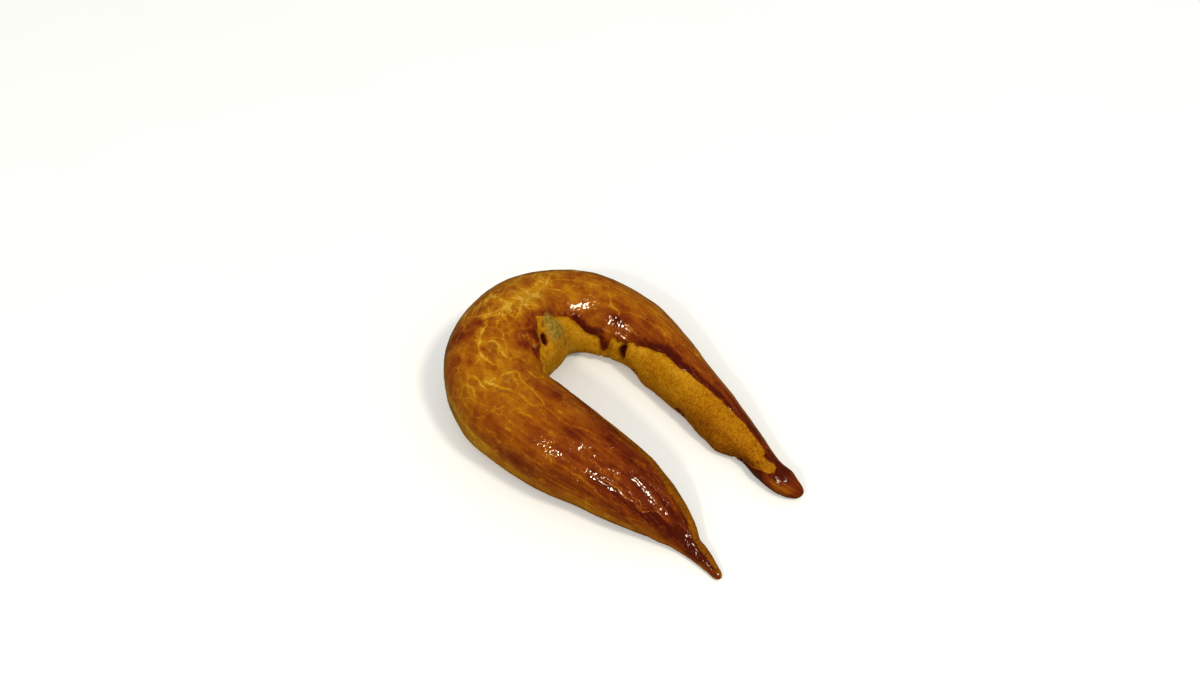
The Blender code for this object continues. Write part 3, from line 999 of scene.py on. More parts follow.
@dataclass
class Bench:
    """Places and joins the nodes of one tree."""

    tree: bpy.types.NodeTree
    made: int = 0
    per_row: int = 9
    column_width: float = 220.0
    row_height: float = 260.0

    def node(
        self, kind: str, inputs: dict[str | int, object] | None = None, **settings: object
    ) -> bpy.types.Node:
        """Adds a node.

        Args:
            kind: Node type, without the ShaderNode in front.
            inputs: Value or source socket of each input that is set.
            **settings: The node's own settings.

        Returns:
            The new node.
        """
        new = self.tree.nodes.new("ShaderNode" + kind)
        row, column = divmod(self.made, self.per_row)
        new.location = (self.column_width * column, -self.row_height * row)
        self.made += 1
        for name, value in settings.items():
            setattr(new, name, value)
        for name, value in (inputs or {}).items():
            self.feed(new.inputs[name], value)
        return new

    def feed(self, target: Socket, value: object) -> None:
        """Joins a socket to the target, or sets the target's own value."""
        if isinstance(value, bpy.types.NodeSocket):
            self.tree.links.new(value, target)
        elif isinstance(value, tuple) and target.type == "RGBA":
            target.default_value = (*value[:3], 1.0)
        else:
            target.default_value = value

    def maths(self, operation: str, *values: object, clamp: bool = False) -> Socket:
        """Adds a Math node and returns its result."""
        return self.node("Math", dict(enumerate(values)), operation=operation, use_clamp=clamp).outputs[0]

    def times(self, first: object, second: object) -> Socket:
        """Multiplies two numbers or sockets."""
        return self.maths("MULTIPLY", first, second)

    def minus(self, first: object, second: object) -> Socket:
        """Takes the second from the first."""
        return self.maths("SUBTRACT", first, second)

    def over(self, first: object, second: object) -> Socket:
        """Divides the first by the second."""
        return self.maths("DIVIDE", first, second)

    def total(self, *terms: object) -> Socket:
        """Adds up several numbers or sockets."""
        result = terms[0]
        for term in terms[1:]:
            result = self.maths("ADD", result, term)
        return result

    def ramp(self, value: Socket, low: float, high: float, start: float = 0.0, end: float = 1.0) -> Socket:
        """A smooth step from start to end as the value goes from low to high."""
        inputs = {"Value": value, "From Min": low, "From Max": high, "To Min": start, "To Max": end}
        return self.node("MapRange", inputs, interpolation_type="SMOOTHSTEP", clamp=True).outputs["Result"]

    def mix(self, share: object, first: object, second: object, blend: str = "MIX") -> Socket:
        """Mixes two colours."""
        new = self.node("Mix", data_type="RGBA", blend_type=blend)
        self.feed(new.inputs[0], share)
        self.feed(new.inputs[6], first)
        self.feed(new.inputs[7], second)
        return new.outputs[2]

    def scale(self, vector: Socket, factor: Socket | float) -> Socket:
        """Multiplies a vector by a number."""
        return self.node("VectorMath", {0: vector, "Scale": factor}, operation="SCALE").outputs[0]

    def stretch(self, vector: Socket, factors: Socket | tuple[float, float, float]) -> Socket:
        """Multiplies a vector by another, part by part."""
        return self.node("VectorMath", {0: vector, 1: factors}, operation="MULTIPLY").outputs[0]

    def attribute(self, name: str) -> Socket:
        """Reads a number that the mesh holds at each point."""
        return self.node("Attribute", attribute_type="GEOMETRY", attribute_name=name).outputs["Fac"]

    def colours(self, value: Socket, stops: tuple[tuple[float, Colour], ...]) -> Socket:
        """A colour ramp.

        Args:
            value: Place on the ramp.
            stops: Places and colours, rising.

        Returns:
            The colour at that place.
        """
        new = self.node("ValToRGB", {"Fac": value})
        ramp = new.color_ramp
        while len(ramp.elements) < len(stops):
            ramp.elements.new(0.5)
        for element, (place, colour) in zip(ramp.elements, stops):
            element.position = place
            element.color = (*colour, 1.0)
        return new.outputs["Color"]


@dataclass
class Effect:
    """A shader node group with named inputs and outputs, built once and used by several materials."""

    name: str
    inputs: tuple[tuple[str, str, float], ...]  # name, socket kind and default
    outputs: tuple[tuple[str, str], ...]

    def build(self) -> bpy.types.NodeTree:
        """Makes the group, or finds the one that is there."""
        found = bpy.data.node_groups.get(self.name)
        if found:
            return found
        tree = bpy.data.node_groups.new(self.name, "ShaderNodeTree")
        for name, kind, default in self.inputs:
            socket = tree.interface.new_socket(name, in_out="INPUT", socket_type="NodeSocket" + kind)
            if kind == "Float":
                socket.default_value = default
        for name, kind in self.outputs:
            tree.interface.new_socket(name, in_out="OUTPUT", socket_type="NodeSocket" + kind)
        bench = Bench(tree)
        given = tree.nodes.new("NodeGroupInput")
        result = tree.nodes.new("NodeGroupOutput")
        self.fill(bench, given.outputs, result.inputs)
        return tree

    def fill(self, bench: Bench, given: object, result: object) -> None:
        """Builds what is inside the group. Each effect has its own."""
        raise NotImplementedError

    def place(self, bench: Bench, **inputs: object) -> bpy.types.Node:
        """Puts the group in a material.

        Args:
            bench: The material's bench.
            **inputs: Value or socket for each input, with _ for a space.

        Returns:
            The group's node.
        """
        new = bench.node("Group")
        new.node_tree = self.build()
        for name, value in inputs.items():
            bench.feed(new.inputs[name.replace("_", " ")], value)
        return new


class Mottle(Effect):
    """Uneven tone around zero, in coarse and fine waves."""

    def __init__(self) -> None:
        """Names the sockets."""
        super().__init__(
            "mottle",
            (
                ("Vector", "Vector", 0.0),
                ("Wave", "Float", 3.0),
                ("Strength", "Float", 0.1),
                ("Detail", "Float", 3.0),
            ),
            (("Tone", "Float"),),
        )

    def fill(self, bench: Bench, given: object, result: object) -> None:
        """Noise of the asked wave length, centred on zero."""
        scale = bench.over(1.0, given["Wave"])
        inputs = {"Vector": given["Vector"], "Scale": scale, "Detail": given["Detail"], "Roughness": 0.55}
        waves = bench.node("TexNoise", inputs, noise_dimensions="3D").outputs["Fac"]
        centred = bench.times(bench.minus(waves, 0.5), 2.0)
        bench.feed(result["Tone"], bench.times(centred, given["Strength"]))


def mottled(bench: Bench, place: Socket, grade: Grade, **more: float) -> Socket:
    """Puts the mottle group in a material, and returns its tone around zero."""
    wave, strength = grade
    return Mottle().place(bench, Vector=place, Wave=wave, Strength=strength, **more).outputs["Tone"]


class DoughGrain(Effect):
    """The fine, matte grain of dough that had no glaze: pale rounded grains with darker pits between."""

    def __init__(self) -> None:
        """Names the sockets."""
        super().__init__(
            "dough grain",
            (("Vector", "Vector", 0.0), ("Grain", "Float", 0.7)),
            (("Tone", "Float"), ("Height", "Float")),
        )

    def fill(self, bench: Bench, given: object, result: object) -> None:
        """Small cells broken up by finer noise."""
        scale = bench.over(1.0, given["Grain"])
        cells = bench.node("TexVoronoi", {"Vector": given["Vector"], "Scale": scale}, feature="SMOOTH_F1")
        fine = bench.times(scale, 1.7)
        inputs = {"Vector": given["Vector"], "Scale": fine, "Detail": 2.0}
        speck = bench.node("TexNoise", inputs).outputs["Fac"]
        pits = bench.minus(bench.times(cells.outputs["Distance"], 1.2), 0.5)
        tone = bench.total(pits, bench.times(bench.minus(speck, 0.5), 1.6))
        bench.feed(result["Tone"], tone)
        bench.feed(result["Height"], bench.times(tone, -1.0))


class Crackle(Effect):
    """Net of fine cracks: many-sided cells on the bend, long ones where the dough was rolled lengthwise."""

    def __init__(self) -> None:
        """Names the sockets."""
        super().__init__(
            "crackle",
            (
                ("Vector", "Vector", 0.0),
                ("Skin", "Vector", 0.0),
                ("Streaky", "Float", 0.0),
                ("Cell", "Float", 5.0),
                ("Long Cell", "Float", 12.0),
                ("Width", "Float", 0.2),
                ("Reach", "Float", 1.5),
                ("Share", "Float", 0.5),
            ),
            (("Line", "Float"), ("Halo", "Float")),
        )

    def fill(self, bench: Bench, given: object, result: object) -> None:
        """Borders of warped cells, with part of them faded out."""
        wave = bench.over(2.2, given["Cell"])
        inputs = {"Vector": given["Vector"], "Scale": wave, "Detail": 2.0}
        warp = bench.node("TexNoise", inputs).outputs["Color"]
        warp = bench.node("VectorMath", {0: warp, 1: (0.5, 0.5, 0.5)}, operation="SUBTRACT").outputs[0]
        warp = bench.scale(warp, 0.9)
        size = bench.over(1.0, given["Cell"])
        round_place = bench.scale(given["Vector"], size)
        lengthwise = bench.over(1.0, given["Long Cell"])
        crosswise = bench.times(size, 1.4)
        long_size = bench.node("CombineXYZ", {0: lengthwise, 1: crosswise}).outputs[0]
        long_place = bench.stretch(given["Skin"], long_size)
        borders = []
        for spot, dimensions in ((round_place, "3D"), (long_place, "2D")):
            moved = bench.node("VectorMath", {0: spot, 1: warp}, operation="ADD").outputs[0]
            settings = {"feature": "DISTANCE_TO_EDGE", "voronoi_dimensions": dimensions}
            cells = bench.node("TexVoronoi", {"Vector": moved, "Scale": 1.0}, **settings)
            borders.append(bench.times(cells.outputs["Distance"], given["Cell"]))
        inputs = {0: given["Streaky"], 2: borders[0], 3: borders[1]}
        apart = bench.node("Mix", inputs, data_type="FLOAT").outputs[0]
        wave = bench.over(0.9, given["Cell"])
        inputs = {"Vector": given["Vector"], "Scale": wave, "Detail": 1.0}
        patchy = bench.node("TexNoise", inputs).outputs["Fac"]
        level = bench.minus(0.85, bench.times(given["Share"], 0.7))
        shown = bench.ramp(bench.minus(patchy, level), -0.08, 0.12)
        near = bench.over(apart, given["Width"])
        bench.feed(result["Line"], bench.times(bench.ramp(near, 0.4, 1.3, 1.0, 0.0), shown))
        bench.feed(result["Halo"], bench.ramp(apart, 0.0, given["Reach"], 1.0, 0.0))


class BakedColour(Effect):
    """Colour of baked, glazed crust from pale dough to mahogany."""

    def __init__(self) -> None:
        """Names the sockets."""
        super().__init__("baked colour", (("Tone", "Float", 0.5),), (("Colour", "Color"),))

    def fill(self, bench: Bench, given: object, result: object) -> None:
        """One ramp of crust colours."""
        stops = (
            (0.00, linear(208, 159, 60)),
            (0.12, linear(191, 137, 17)),
            (0.28, linear(178, 116, 7)),
            (0.45, linear(158, 88, 3)),
            (0.62, linear(137, 64, 2)),
            (0.80, linear(112, 40, 2)),
            (1.00, linear(74, 16, 1)),
        )
        bench.feed(result["Colour"], bench.colours(given["Tone"], stops))


def new_material(name: str) -> tuple[bpy.types.Material, Bench, bpy.types.Node]:
    """Starts a material.

    Args:
        name: The material's name.

    Returns:
        The material, its bench and its Principled shader.
    """
    material = bpy.data.materials.new(name)
    material.use_nodes = True
    bench = Bench(material.node_tree)
    return material, bench, material.node_tree.nodes["Principled BSDF"]


@dataclass(frozen=True)
class CrustFinish:
    """Glazed crust with its cracks, and the bare dough beyond the glaze."""

    name: str = "glazed_crust"
    glaze_roughness: float = 0.5  # of the crust under its coat of glaze
    bare_roughness: float = 0.8
    coat_roughness: float = 0.09
    specular: float = 0.03
    uneven_gloss: Grade = (1.6, 0.08)
    ragged_edge: Grade = (0.9, 0.30)
    blotches: Grade = (2.6, 0.22)
    specks: Grade = (0.7, 0.09)
    streaks: Grade = (1.0, 0.18)  # of skin coordinates that are drawn out by the next line
    combed: tuple[float, float, float] = (1.0 / 16.0, 1.0 / 1.1, 0.0)
    tone_lift: float = 0.05  # the whole glazed crust is this much darker than its painted tone
    clear_legs: float = 0.45  # blotches and halos left on the legs, where streaks take over
    net_legs: float = 0.75  # coarse cracks left there
    fray: Grade = (0.8, 0.9)
    thinning: Grade = (2.0, 1.0)
    grain_size: float = 0.75
    bare_clouds: Grade = (5.0, 0.22)
    grain_tone: float = 0.38
    broken_stains: Grade = (0.9, 0.5)
    wrinkles: Grade = (1.9, 0.07)  # the heights of these four are in millimetres
    ripples: Grade = (0.85, 0.026)
    crack_height: float = -0.05
    grain_height: float = 0.06
    ripple_clouds: Grade = (6.0, 1.0)  # where the ripples are weak and where strong
    rough_ripples: float = 2.2  # how much stronger they are on a patch of rough glaze

    def build(self) -> bpy.types.Material:
        """Builds the material.

        Returns:
            The finished material.
        """
        material, bench, shader = new_material(self.name)
        place = bench.scale(bench.node("TexCoord").outputs["Object"], 1.0 / MM)
        skin = bench.node("UVMap", uv_map=SKIN_MAP).outputs["UV"]
        glaze = self.glaze_mask(bench, place)
        glazed, lines = self.glazed_colour(bench, place, skin)
        bare, grain = self.bare_colour(bench, place)
        colour = bench.mix(glaze, bare, glazed)
        colour = self.stained(bench, colour, place)
        roughness = bench.ramp(glaze, 0.0, 1.0, self.bare_roughness, self.glaze_roughness)
        roughness = bench.total(roughness, mottled(bench, place, self.uneven_gloss))
        matte = bench.ramp(bench.attribute(Mark.CHAR_AND_HOLE_SHADE.value), 0.2, 0.9, 1.0, 0.3)
        normal = self.bumps(bench, place, glaze, grain, lines)
        bench.feed(shader.inputs["Base Color"], colour)
        bench.feed(shader.inputs["Roughness"], roughness)
        bench.feed(shader.inputs["Coat Weight"], bench.times(glaze, matte))
        bench.feed(shader.inputs["Normal"], normal)
        bench.feed(shader.inputs["Coat Normal"], normal)
        shader.inputs["Coat Roughness"].default_value = self.coat_roughness
        shader.inputs["Specular IOR Level"].default_value = self.specular
        return material

    def glaze_mask(self, bench: Bench, place: Socket) -> Socket:
        """1 on the glaze and 0 on bare dough, with a ragged edge."""
        beyond = bench.attribute("beyond")
        ragged = mottled(bench, place, self.ragged_edge)
        return bench.ramp(bench.total(beyond, ragged), -0.14, 0.16, 1.0, 0.0)

    def glazed_colour(self, bench: Bench, place: Socket, skin: Socket) -> tuple[Socket, Socket]:
        """Colour of the glazed crust, and the mask of its fine cracks."""
        brown = bench.attribute(Mark.BROWN.value)
        crack = bench.attribute(Mark.CRACK.value)
        streaky = bench.attribute("streaky")
        mottle = mottled(bench, place, self.blotches)
        speck = mottled(bench, place, self.specks)
        streak = mottled(bench, bench.stretch(skin, self.combed), self.streaks)
        streak = bench.times(streak, streaky)
        hairs = self.hairlines(bench, place)
        spot = {"Vector": place, "Skin": skin, "Streaky": streaky}
        coarse = Crackle().place(bench, **spot, Cell=5.4, Long_Cell=15.0, Width=0.2, Reach=1.7, Share=0.6)
        fine = Crackle().place(bench, **spot, Cell=2.6, Long_Cell=7.0, Width=0.16, Reach=0.8, Share=0.3)
        clear = bench.ramp(streaky, 0.0, 1.0, 1.0, self.clear_legs)
        net = bench.ramp(streaky, 0.0, 1.0, 1.0, self.net_legs)
        tone = bench.total(brown, bench.times(mottle, clear), speck, streak, self.tone_lift)
        for mask, lighter in (
            (bench.times(coarse.outputs["Halo"], clear), 0.14),
            (bench.times(coarse.outputs["Line"], net), 0.25),
            (fine.outputs["Halo"], 0.08),
            (fine.outputs["Line"], 0.15),
            (crack, 0.10),
            (hairs, 0.30),
        ):
            tone = bench.minus(tone, bench.times(mask, lighter))
        colour = BakedColour().place(bench, Tone=tone).outputs["Colour"]
        lines = bench.maths("MAXIMUM", coarse.outputs["Line"], fine.outputs["Line"])
        return colour, bench.maths("MAXIMUM", bench.times(lines, 0.6), hairs)

    def hairlines(self, bench: Bench, place: Socket) -> Socket:
        """Mask of the cracks that are placed one by one, with frayed sides."""
        fray = mottled(bench, place, self.fray)
        thin = bench.ramp(mottled(bench, place, self.thinning), -0.4, 0.3, 0.4)
        lines = 0.0
        for layer in range(CRACK_LAYERS):
            side = bench.maths("ABSOLUTE", bench.total(bench.attribute(f"side{layer}"), fray))
            line = bench.ramp(side, 0.15, 1.0, 1.0, 0.0)
            line = bench.times(line, bench.attribute(f"crack{layer}"))
            lines = bench.maths("MAXIMUM", lines, line)
        return bench.times(lines, thin)

    def bare_colour(self, bench: Bench, place: Socket) -> tuple[Socket, Socket]:
        """Colour of the dough that had no glaze, and its grain as a height."""
        grain = DoughGrain().place(bench, Vector=place, Grain=self.grain_size)
        cloud = mottled(bench, place, self.bare_clouds)
        baked = bench.attribute("bare")
        tone = bench.total(baked, cloud, bench.times(grain.outputs["Tone"], self.grain_tone))
        stops = (
            (0.00, linear(205, 152, 40)),
            (0.35, linear(178, 121, 12)),
            (0.65, linear(148, 87, 6)),
            (1.00, linear(98, 52, 4)),
        )
        return bench.colours(tone, stops), grain.outputs["Height"]

    def stained(self, bench: Bench, colour: Socket, place: Socket) -> Socket:
        """Adds the greenish bloom and the dark marks to a colour: burnt crust, and painted shade in the slit,
        creases and holes.
        """
        broken = mottled(bench, place, self.broken_stains)
        bloom = bench.ramp(bench.total(bench.attribute(Mark.OLIVE.value), broken), 0.15, 1.3)
        pale = bench.mix(bench.ramp(broken, -0.1, 0.3), linear(120, 96, 20), linear(178, 152, 86))
        colour = bench.mix(bench.times(bloom, 0.9), colour, pale)
        char_and_hole_shade = bench.total(bench.attribute(Mark.CHAR_AND_HOLE_SHADE.value), bench.times(broken, 0.3))
        # Darkens towards burnt brown: burnt crust, and painted shade inside the slit, creases and holes.
        return bench.mix(bench.ramp(char_and_hole_shade, 0.25, 0.8), colour, linear(68, 14, 2))

    def bumps(self, bench: Bench, place: Socket, glaze: Socket, grain: Socket, lines: Socket) -> Socket:
        """Fine relief in millimetres, as a normal: wrinkled glaze, sunk cracks and grainy dough."""
        wrinkle = mottled(bench, place, self.wrinkles, Detail=1.0)
        clouds = bench.ramp(mottled(bench, place, self.ripple_clouds), -0.3, 0.3, 0.4, 1.3)
        rough = bench.times(bench.attribute(Mark.ROUGH.value), self.rough_ripples)
        ripple = mottled(bench, place, self.ripples, Detail=0.5)
        ripple = bench.times(ripple, bench.total(clouds, rough))
        sunk = bench.times(lines, self.crack_height)
        on_glaze = bench.times(bench.total(wrinkle, ripple, sunk), glaze)
        bare = bench.minus(1.0, glaze)
        off_glaze = bench.times(bench.times(grain, self.grain_height), bare)
        height = bench.total(on_glaze, off_glaze)
        return bench.node("Bump", {"Strength": 1.0, "Distance": MM, "Height": height}).outputs["Normal"]


@dataclass(frozen=True)
class BurntFinish:
    """Dry, burnt crumbs of glaze and dough."""

    name: str = "burnt_crumb"
    roughness: float = 0.7
    tone: float = 0.95
    mottling: Grade = (1.2, 0.25)
    grain_size: float = 0.35
    grain_tone: float = 0.2
    grain_height: float = 0.05

    def build(self) -> bpy.types.Material:
        """Builds the material.

        Returns:
            The finished material.
        """
        material, bench, shader = new_material(self.name)
        place = bench.scale(bench.node("TexCoord").outputs["Object"], 1.0 / MM)
        grain = DoughGrain().place(bench, Vector=place, Grain=self.grain_size)
        specks = bench.times(grain.outputs["Tone"], self.grain_tone)
        tone = bench.total(self.tone, mottled(bench, place, self.mottling), specks)
        bench.feed(shader.inputs["Base Color"], BakedColour().place(bench, Tone=tone).outputs["Colour"])
        shader.inputs["Roughness"].default_value = self.roughness
        height = bench.times(grain.outputs["Height"], self.grain_height)
        bump = bench.node("Bump", {"Strength": 1.0, "Distance": MM, "Height": height})
        bench.feed(shader.inputs["Normal"], bump.outputs["Normal"])
        return material


# ---------------------------------------------------------------------------------------------------------
# The crust
# ---------------------------------------------------------------------------------------------------------


@dataclass(frozen=True)
class CellNet:
    """Net of shallow grooves in the stretched glaze: long cells on the legs, round ones on the bend."""

    length: float = 9.5  # of a cell on the legs, in millimetres
    width: float = 3.6
    bend_shortens: float = 4.5
    bend_widens: float = 0.6
    warp: float = 0.28  # how far the borders stray, as a share of a cell
    warp_length: float = 3.0
    warp_shifts: tuple[float, float] = (50.0, 60.0)

    def borders(self, plain: np.ndarray, flat: np.ndarray, bend: np.ndarray) -> np.ndarray:
        """Distance from the nearest border, as a share of a cell.

        Args:
            plain: Points of the plain skin.
            flat: Their skin coordinates.
            bend: 1 in the middle of the bend, falling to 0 on the legs.

        Returns:
            Numbers from 0 on a border upwards.
        """
        length, width = self.length - self.bend_shortens * bend, self.width + self.bend_widens * bend
        cells = np.stack((flat[..., 0] / length, flat[..., 1] / width, np.zeros_like(bend)), axis=-1)
        stray = [noise_field(plain, (self.warp_length,) * 3, shift) for shift in self.warp_shifts]
        cells[..., :2] += self.warp * np.stack(stray, axis=-1)
        return cell_borders(cells)


@dataclass(frozen=True)
class CrustBaking:
    """How dark the glazed crust is baked over the whole roll."""

    pale_flank_and_rim_sheen: Rise = Rise(0.36, 0.18, 0.31)  # low on the outer side, as a share of the way round: paler, less browned crust there, with painted sheen along the lower rim
    clouds: Wave = Wave(0.10, 7.0, 70.0)
    bend_clouds: Wave = Wave(0.20, 3.2, 80.0)
    strip_strength: float = 0.16
    strip_size: tuple[float, float, float] = (40.0, 4.2, 1.0)
    strip_shift: float = 9.0
    pool_middle: float = -1.1  # the glaze pools this far inside its edge
    pool_width: float = 1.5
    pools: tuple[tuple[float, float], ...] = POOLS

    def tone(self, along: np.ndarray, shares: np.ndarray) -> np.ndarray:
        """Reads the table of baking for each point of each ring."""
        table = np.array([(b.along, b.outer, b.crown, b.inner) for b in BAKING])
        baked = np.stack([np.interp(along, table[:, 0], table[:, k]) for k in (1, 2, 3)])
        return np.stack([np.interp(shares, BAKING_AROUND, ring) for ring in baked.T])

    def unevenness(
        self, plain: np.ndarray, flat: np.ndarray, share: np.ndarray, bend: np.ndarray
    ) -> np.ndarray:
        """What is added to the table: the pale flank with its painted sheen along the lower rim, clouds, and
        strips along the legs.

        Args:
            plain: Points of the plain skin.
            flat: Their skin coordinates.
            share: Share of the way round of each point.
            bend: 1 in the middle of the bend, falling to 0 on the legs.

        Returns:
            Changes of tone, one for each point.
        """
        strips = np.stack((flat[..., 0], flat[..., 1], np.zeros_like(bend)), axis=-1)
        strips = self.strip_strength * noise_field(strips, self.strip_size, self.strip_shift)
        # The pale flank is partly paler crust and partly painted sheen along the lower rim.
        tone = self.clouds.over(plain) + self.bend_clouds.over(plain) * bend - self.pale_flank_and_rim_sheen.before(share)
        return tone + strips * (1.0 - bend)

    def pooled(self, along: np.ndarray, share: np.ndarray, beyond: np.ndarray) -> np.ndarray:
        """The dark line of thick glaze along its inner edge."""
        places, strengths = np.array(self.pools).T
        line = bell(beyond, self.pool_middle, self.pool_width) * ease(*INNER_SIDE, share)
        return np.interp(along, places, strengths)[:, None] * line


@dataclass(frozen=True)
class BareDough:
    """How dark the dough that had no glaze is baked."""

    base: float = 0.30
    clouds: Wave = Wave(0.12, 9.0, 90.0)
    browning: float = 0.8  # share of the painted tones that shows on it
    slim_start: Rise = Rise(0.04, 150.0, 165.0)
    slim_leg: Rise = Rise(0.16, 165.0, 205.0)
    slim_low: Rise = Rise(0.14, 0.58, 0.76)  # down the inner face, as a share of the way round
    slim_low_from: Rise = Rise(1.0, 150.0, 175.0)
    fat_leg: Rise = Rise(0.32, 60.0, 90.0)
    fat_tip: Rise = Rise(0.2, 30.0, 60.0)
    by_tray: Rise = Rise(0.2, 0.0, 1.2)  # height above the tray, in millimetres

    def tone(self, plain: np.ndarray, length: np.ndarray, share: np.ndarray) -> np.ndarray:
        """Darker on the legs, low on the inner faces and close to the tray.

        Args:
            plain: Points of the plain skin.
            length: Distance of each point along the roll.
            share: Share of the way round of each point.

        Returns:
            Numbers from 0, pale, to 1, brown.
        """
        tone = self.base + self.clouds.over(plain) + self.slim_start.after(length)
        tone += self.slim_leg.after(length) + self.slim_low.after(share) * self.slim_low_from.after(length)
        tone += self.fat_leg.before(length) + self.fat_tip.before(length)
        return tone + self.by_tray.before(plain[..., 2])


@dataclass
class Crust:
    """The whole skin of the roll as one closed mesh, with its relief and its painted marks."""

    form: LoafForm
    edge: GlazeEdge
    marks: CrustMarks
    rings: int = 540
    ring_points: int = 172
    cap_rings: int = 5  # rings of each rounded end
    cap_length: float = 1.8
    bend_middle: float = 114.0  # the rings lie closer here
    bend_reach: float = 26.0
    bend_extra: float = 0.6
    spacing_steps: int = 4001
    foot_thinning: float = 0.5  # how much further apart a ring's points lie on the foot
    hollows: Wave = Wave(0.42, 13.0)
    ripples: Wave = Wave(0.14, 5.0, 8.0)
    furrow_length: float = 34.0
    furrow_width: float = 3.4
    furrow_depth: float = 0.26
    smooth_middle: float = 108.0  # the bend, which has no furrows
    smooth_reach: float = 38.0
    pleats: int = 5
    pleat_height: float = 0.22
    pleat_reach: float = 22.0
    tip_fade: float = 9.0
    tip_relief: float = 0.25
    crack_depth: float = 0.22
    cell_depth: float = 0.06
    char_depth: float = 1.3
    fold_height: float = 0.9
    wrinkles: Wave = Wave(0.045, 1.9, 20.0)
    grain: Wave = Wave(0.05, 1.1, 25.0)
    rough_flap: Wave = Wave(0.14, 1.5, 27.0)
    glaze_ends: float = 0.3  # relief of the glaze runs out over this much to both sides of its edge
    border_width: float = 0.16  # half width of the groove between two cells, as a share of a cell
    even_girth: float = 75.0
    weld: float = 0.001
    net: CellNet = CellNet()
    baking: CrustBaking = CrustBaking()
    bare_dough: BareDough = BareDough()
    shift: np.ndarray = field(default_factory=lambda: np.zeros(3))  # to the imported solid's place, in metres

    def ring_places(self) -> np.ndarray:
        """Distances of the rings along the roll, closer together in the bend and in the rounded ends."""
        length = self.form.length
        fine = np.linspace(self.cap_length, length - self.cap_length, self.spacing_steps)
        density = 1.0 + self.bend_extra * bell(fine, self.bend_middle, self.bend_reach)
        rank = np.concatenate(([0.0], np.cumsum((density[1:] + density[:-1]) / 2.0)))
        body = np.interp(np.linspace(0.0, rank[-1], self.rings - 2 * self.cap_rings), rank, fine)
        cap = self.cap_length * (1.0 - np.cos(np.linspace(0.0, np.pi / 2, self.cap_rings + 1)))[:-1]
        return np.concatenate((cap, body, length - cap[::-1]))

    def ring_shares(self) -> np.ndarray:
        """Shares of the way round at which a ring has its points."""
        even = np.linspace(0.0, 1.0, self.ring_points + 1)
        return even + self.foot_thinning * np.sin(2.0 * np.pi * even) / (2.0 * np.pi)

    def build(self, finish: bpy.types.Material) -> bpy.types.Object:
        """Builds the crust.

        Args:
            finish: The crust's material.

        Returns:
            The finished piece, in place.
        """
        along, shares = self.ring_places(), self.ring_shares()
        plain, girths = self.form.skin(along, shares)
        fields = self.fields(plain, along, shares, girths)
        points = self.placed(self.shaped(plain, along, shares, girths, fields))
        flat = self.skin_coordinates(along, shares, girths)
        return self.wrapped(points, fields, flat, finish)

    def skin_coordinates(self, along: np.ndarray, shares: np.ndarray, girths: np.ndarray) -> np.ndarray:
        """Coordinates in millimetres that follow the skin and draw together towards the tips."""
        length, share = spread(along, shares)
        return np.stack((length, (share - 0.5) * np.sqrt(girths * self.even_girth)[:, None]), axis=-1)

    def fields(
        self, plain: np.ndarray, along: np.ndarray, shares: np.ndarray, girths: np.ndarray
    ) -> dict[str, np.ndarray]:
        """Everything that is painted on the skin.

        Args:
            plain: Points of the plain skin.
            along: Distance of each ring on the middle line.
            shares: Share of the way round of each point of a ring.
            girths: Girth of each ring.

        Returns:
            For each attribute of the mesh, its value at each point.
        """
        fields = self.marks.paint(plain)
        fields["beyond"] = self.edge.beyond(plain, along, shares, girths)
        length, share = spread(along, shares)
        bend = bell(length, self.smooth_middle, self.smooth_reach)
        fields["streaky"] = 1.0 - bend
        flat = self.skin_coordinates(along, shares, girths)
        fields["cell"] = self.net.borders(plain, flat, bend)
        browning = fields[Mark.BROWN.value]
        fields["bare"] = self.bare_dough.tone(plain, length, share) + self.bare_dough.browning * browning
        tone = self.baking.tone(along, shares)
        tone += self.baking.unevenness(plain, flat, share, bend)
        tone += self.baking.pooled(along, share, fields["beyond"])
        fields[Mark.BROWN.value] = browning + tone
        return fields

    def shaped(
        self,
        plain: np.ndarray,
        along: np.ndarray,
        shares: np.ndarray,
        girths: np.ndarray,
        fields: dict[str, np.ndarray],
    ) -> np.ndarray:
        """The skin with all its relief, and both ends drawn in to a point."""
        length, share = spread(along, shares)
        climb = (share - 0.5) * girths[:, None]
        from_tip = np.minimum(length, self.form.length - length)
        relief = self.edge.relief(fields["beyond"], along, shares)
        for dent in DENTS + BLISTERS:
            relief -= dent.depth * oval(self.form, dent, plain, self.marks.thickness)
        relief -= self.hollows.over(plain)
        relief -= self.ripples.over(plain)
        strips = np.stack((length, climb, np.zeros_like(length)), axis=-1)
        furrows = noise_field(strips, (self.furrow_length, self.furrow_width, 1.0))
        relief -= self.furrow_depth * furrows * (1.0 - bell(length, self.smooth_middle, self.smooth_reach))
        pinched = (1.0 - ease(0.0, self.pleat_reach, from_tip)) * ease(0.0, self.cap_length, from_tip)
        relief += self.pleat_height * pinched * (0.5 + 0.5 * np.cos(2.0 * np.pi * self.pleats * share))
        glazed = 1.0 - ease(-self.glaze_ends, self.glaze_ends, fields["beyond"])
        relief -= self.crack_depth * fields[Mark.CRACK.value] * glazed
        relief -= Rise(self.cell_depth, 0.0, self.border_width).before(fields["cell"]) * glazed
        relief -= self.char_depth * fields[Mark.CHAR_AND_HOLE_SHADE.value] ** 2
        relief += self.fold_height * fields[Mark.FOLD.value]
        relief += self.wrinkles.over(plain) * glazed
        relief += self.grain.over(plain) * (1.0 - glazed)
        relief += self.rough_flap.over(plain) * np.clip(fields[Mark.OLIVE.value], 0.0, 1.0)
        relief *= self.tip_relief + (1.0 - self.tip_relief) * ease(0.0, self.tip_fade, from_tip)
        on_foot = plain[..., 2] < NO_LENGTH
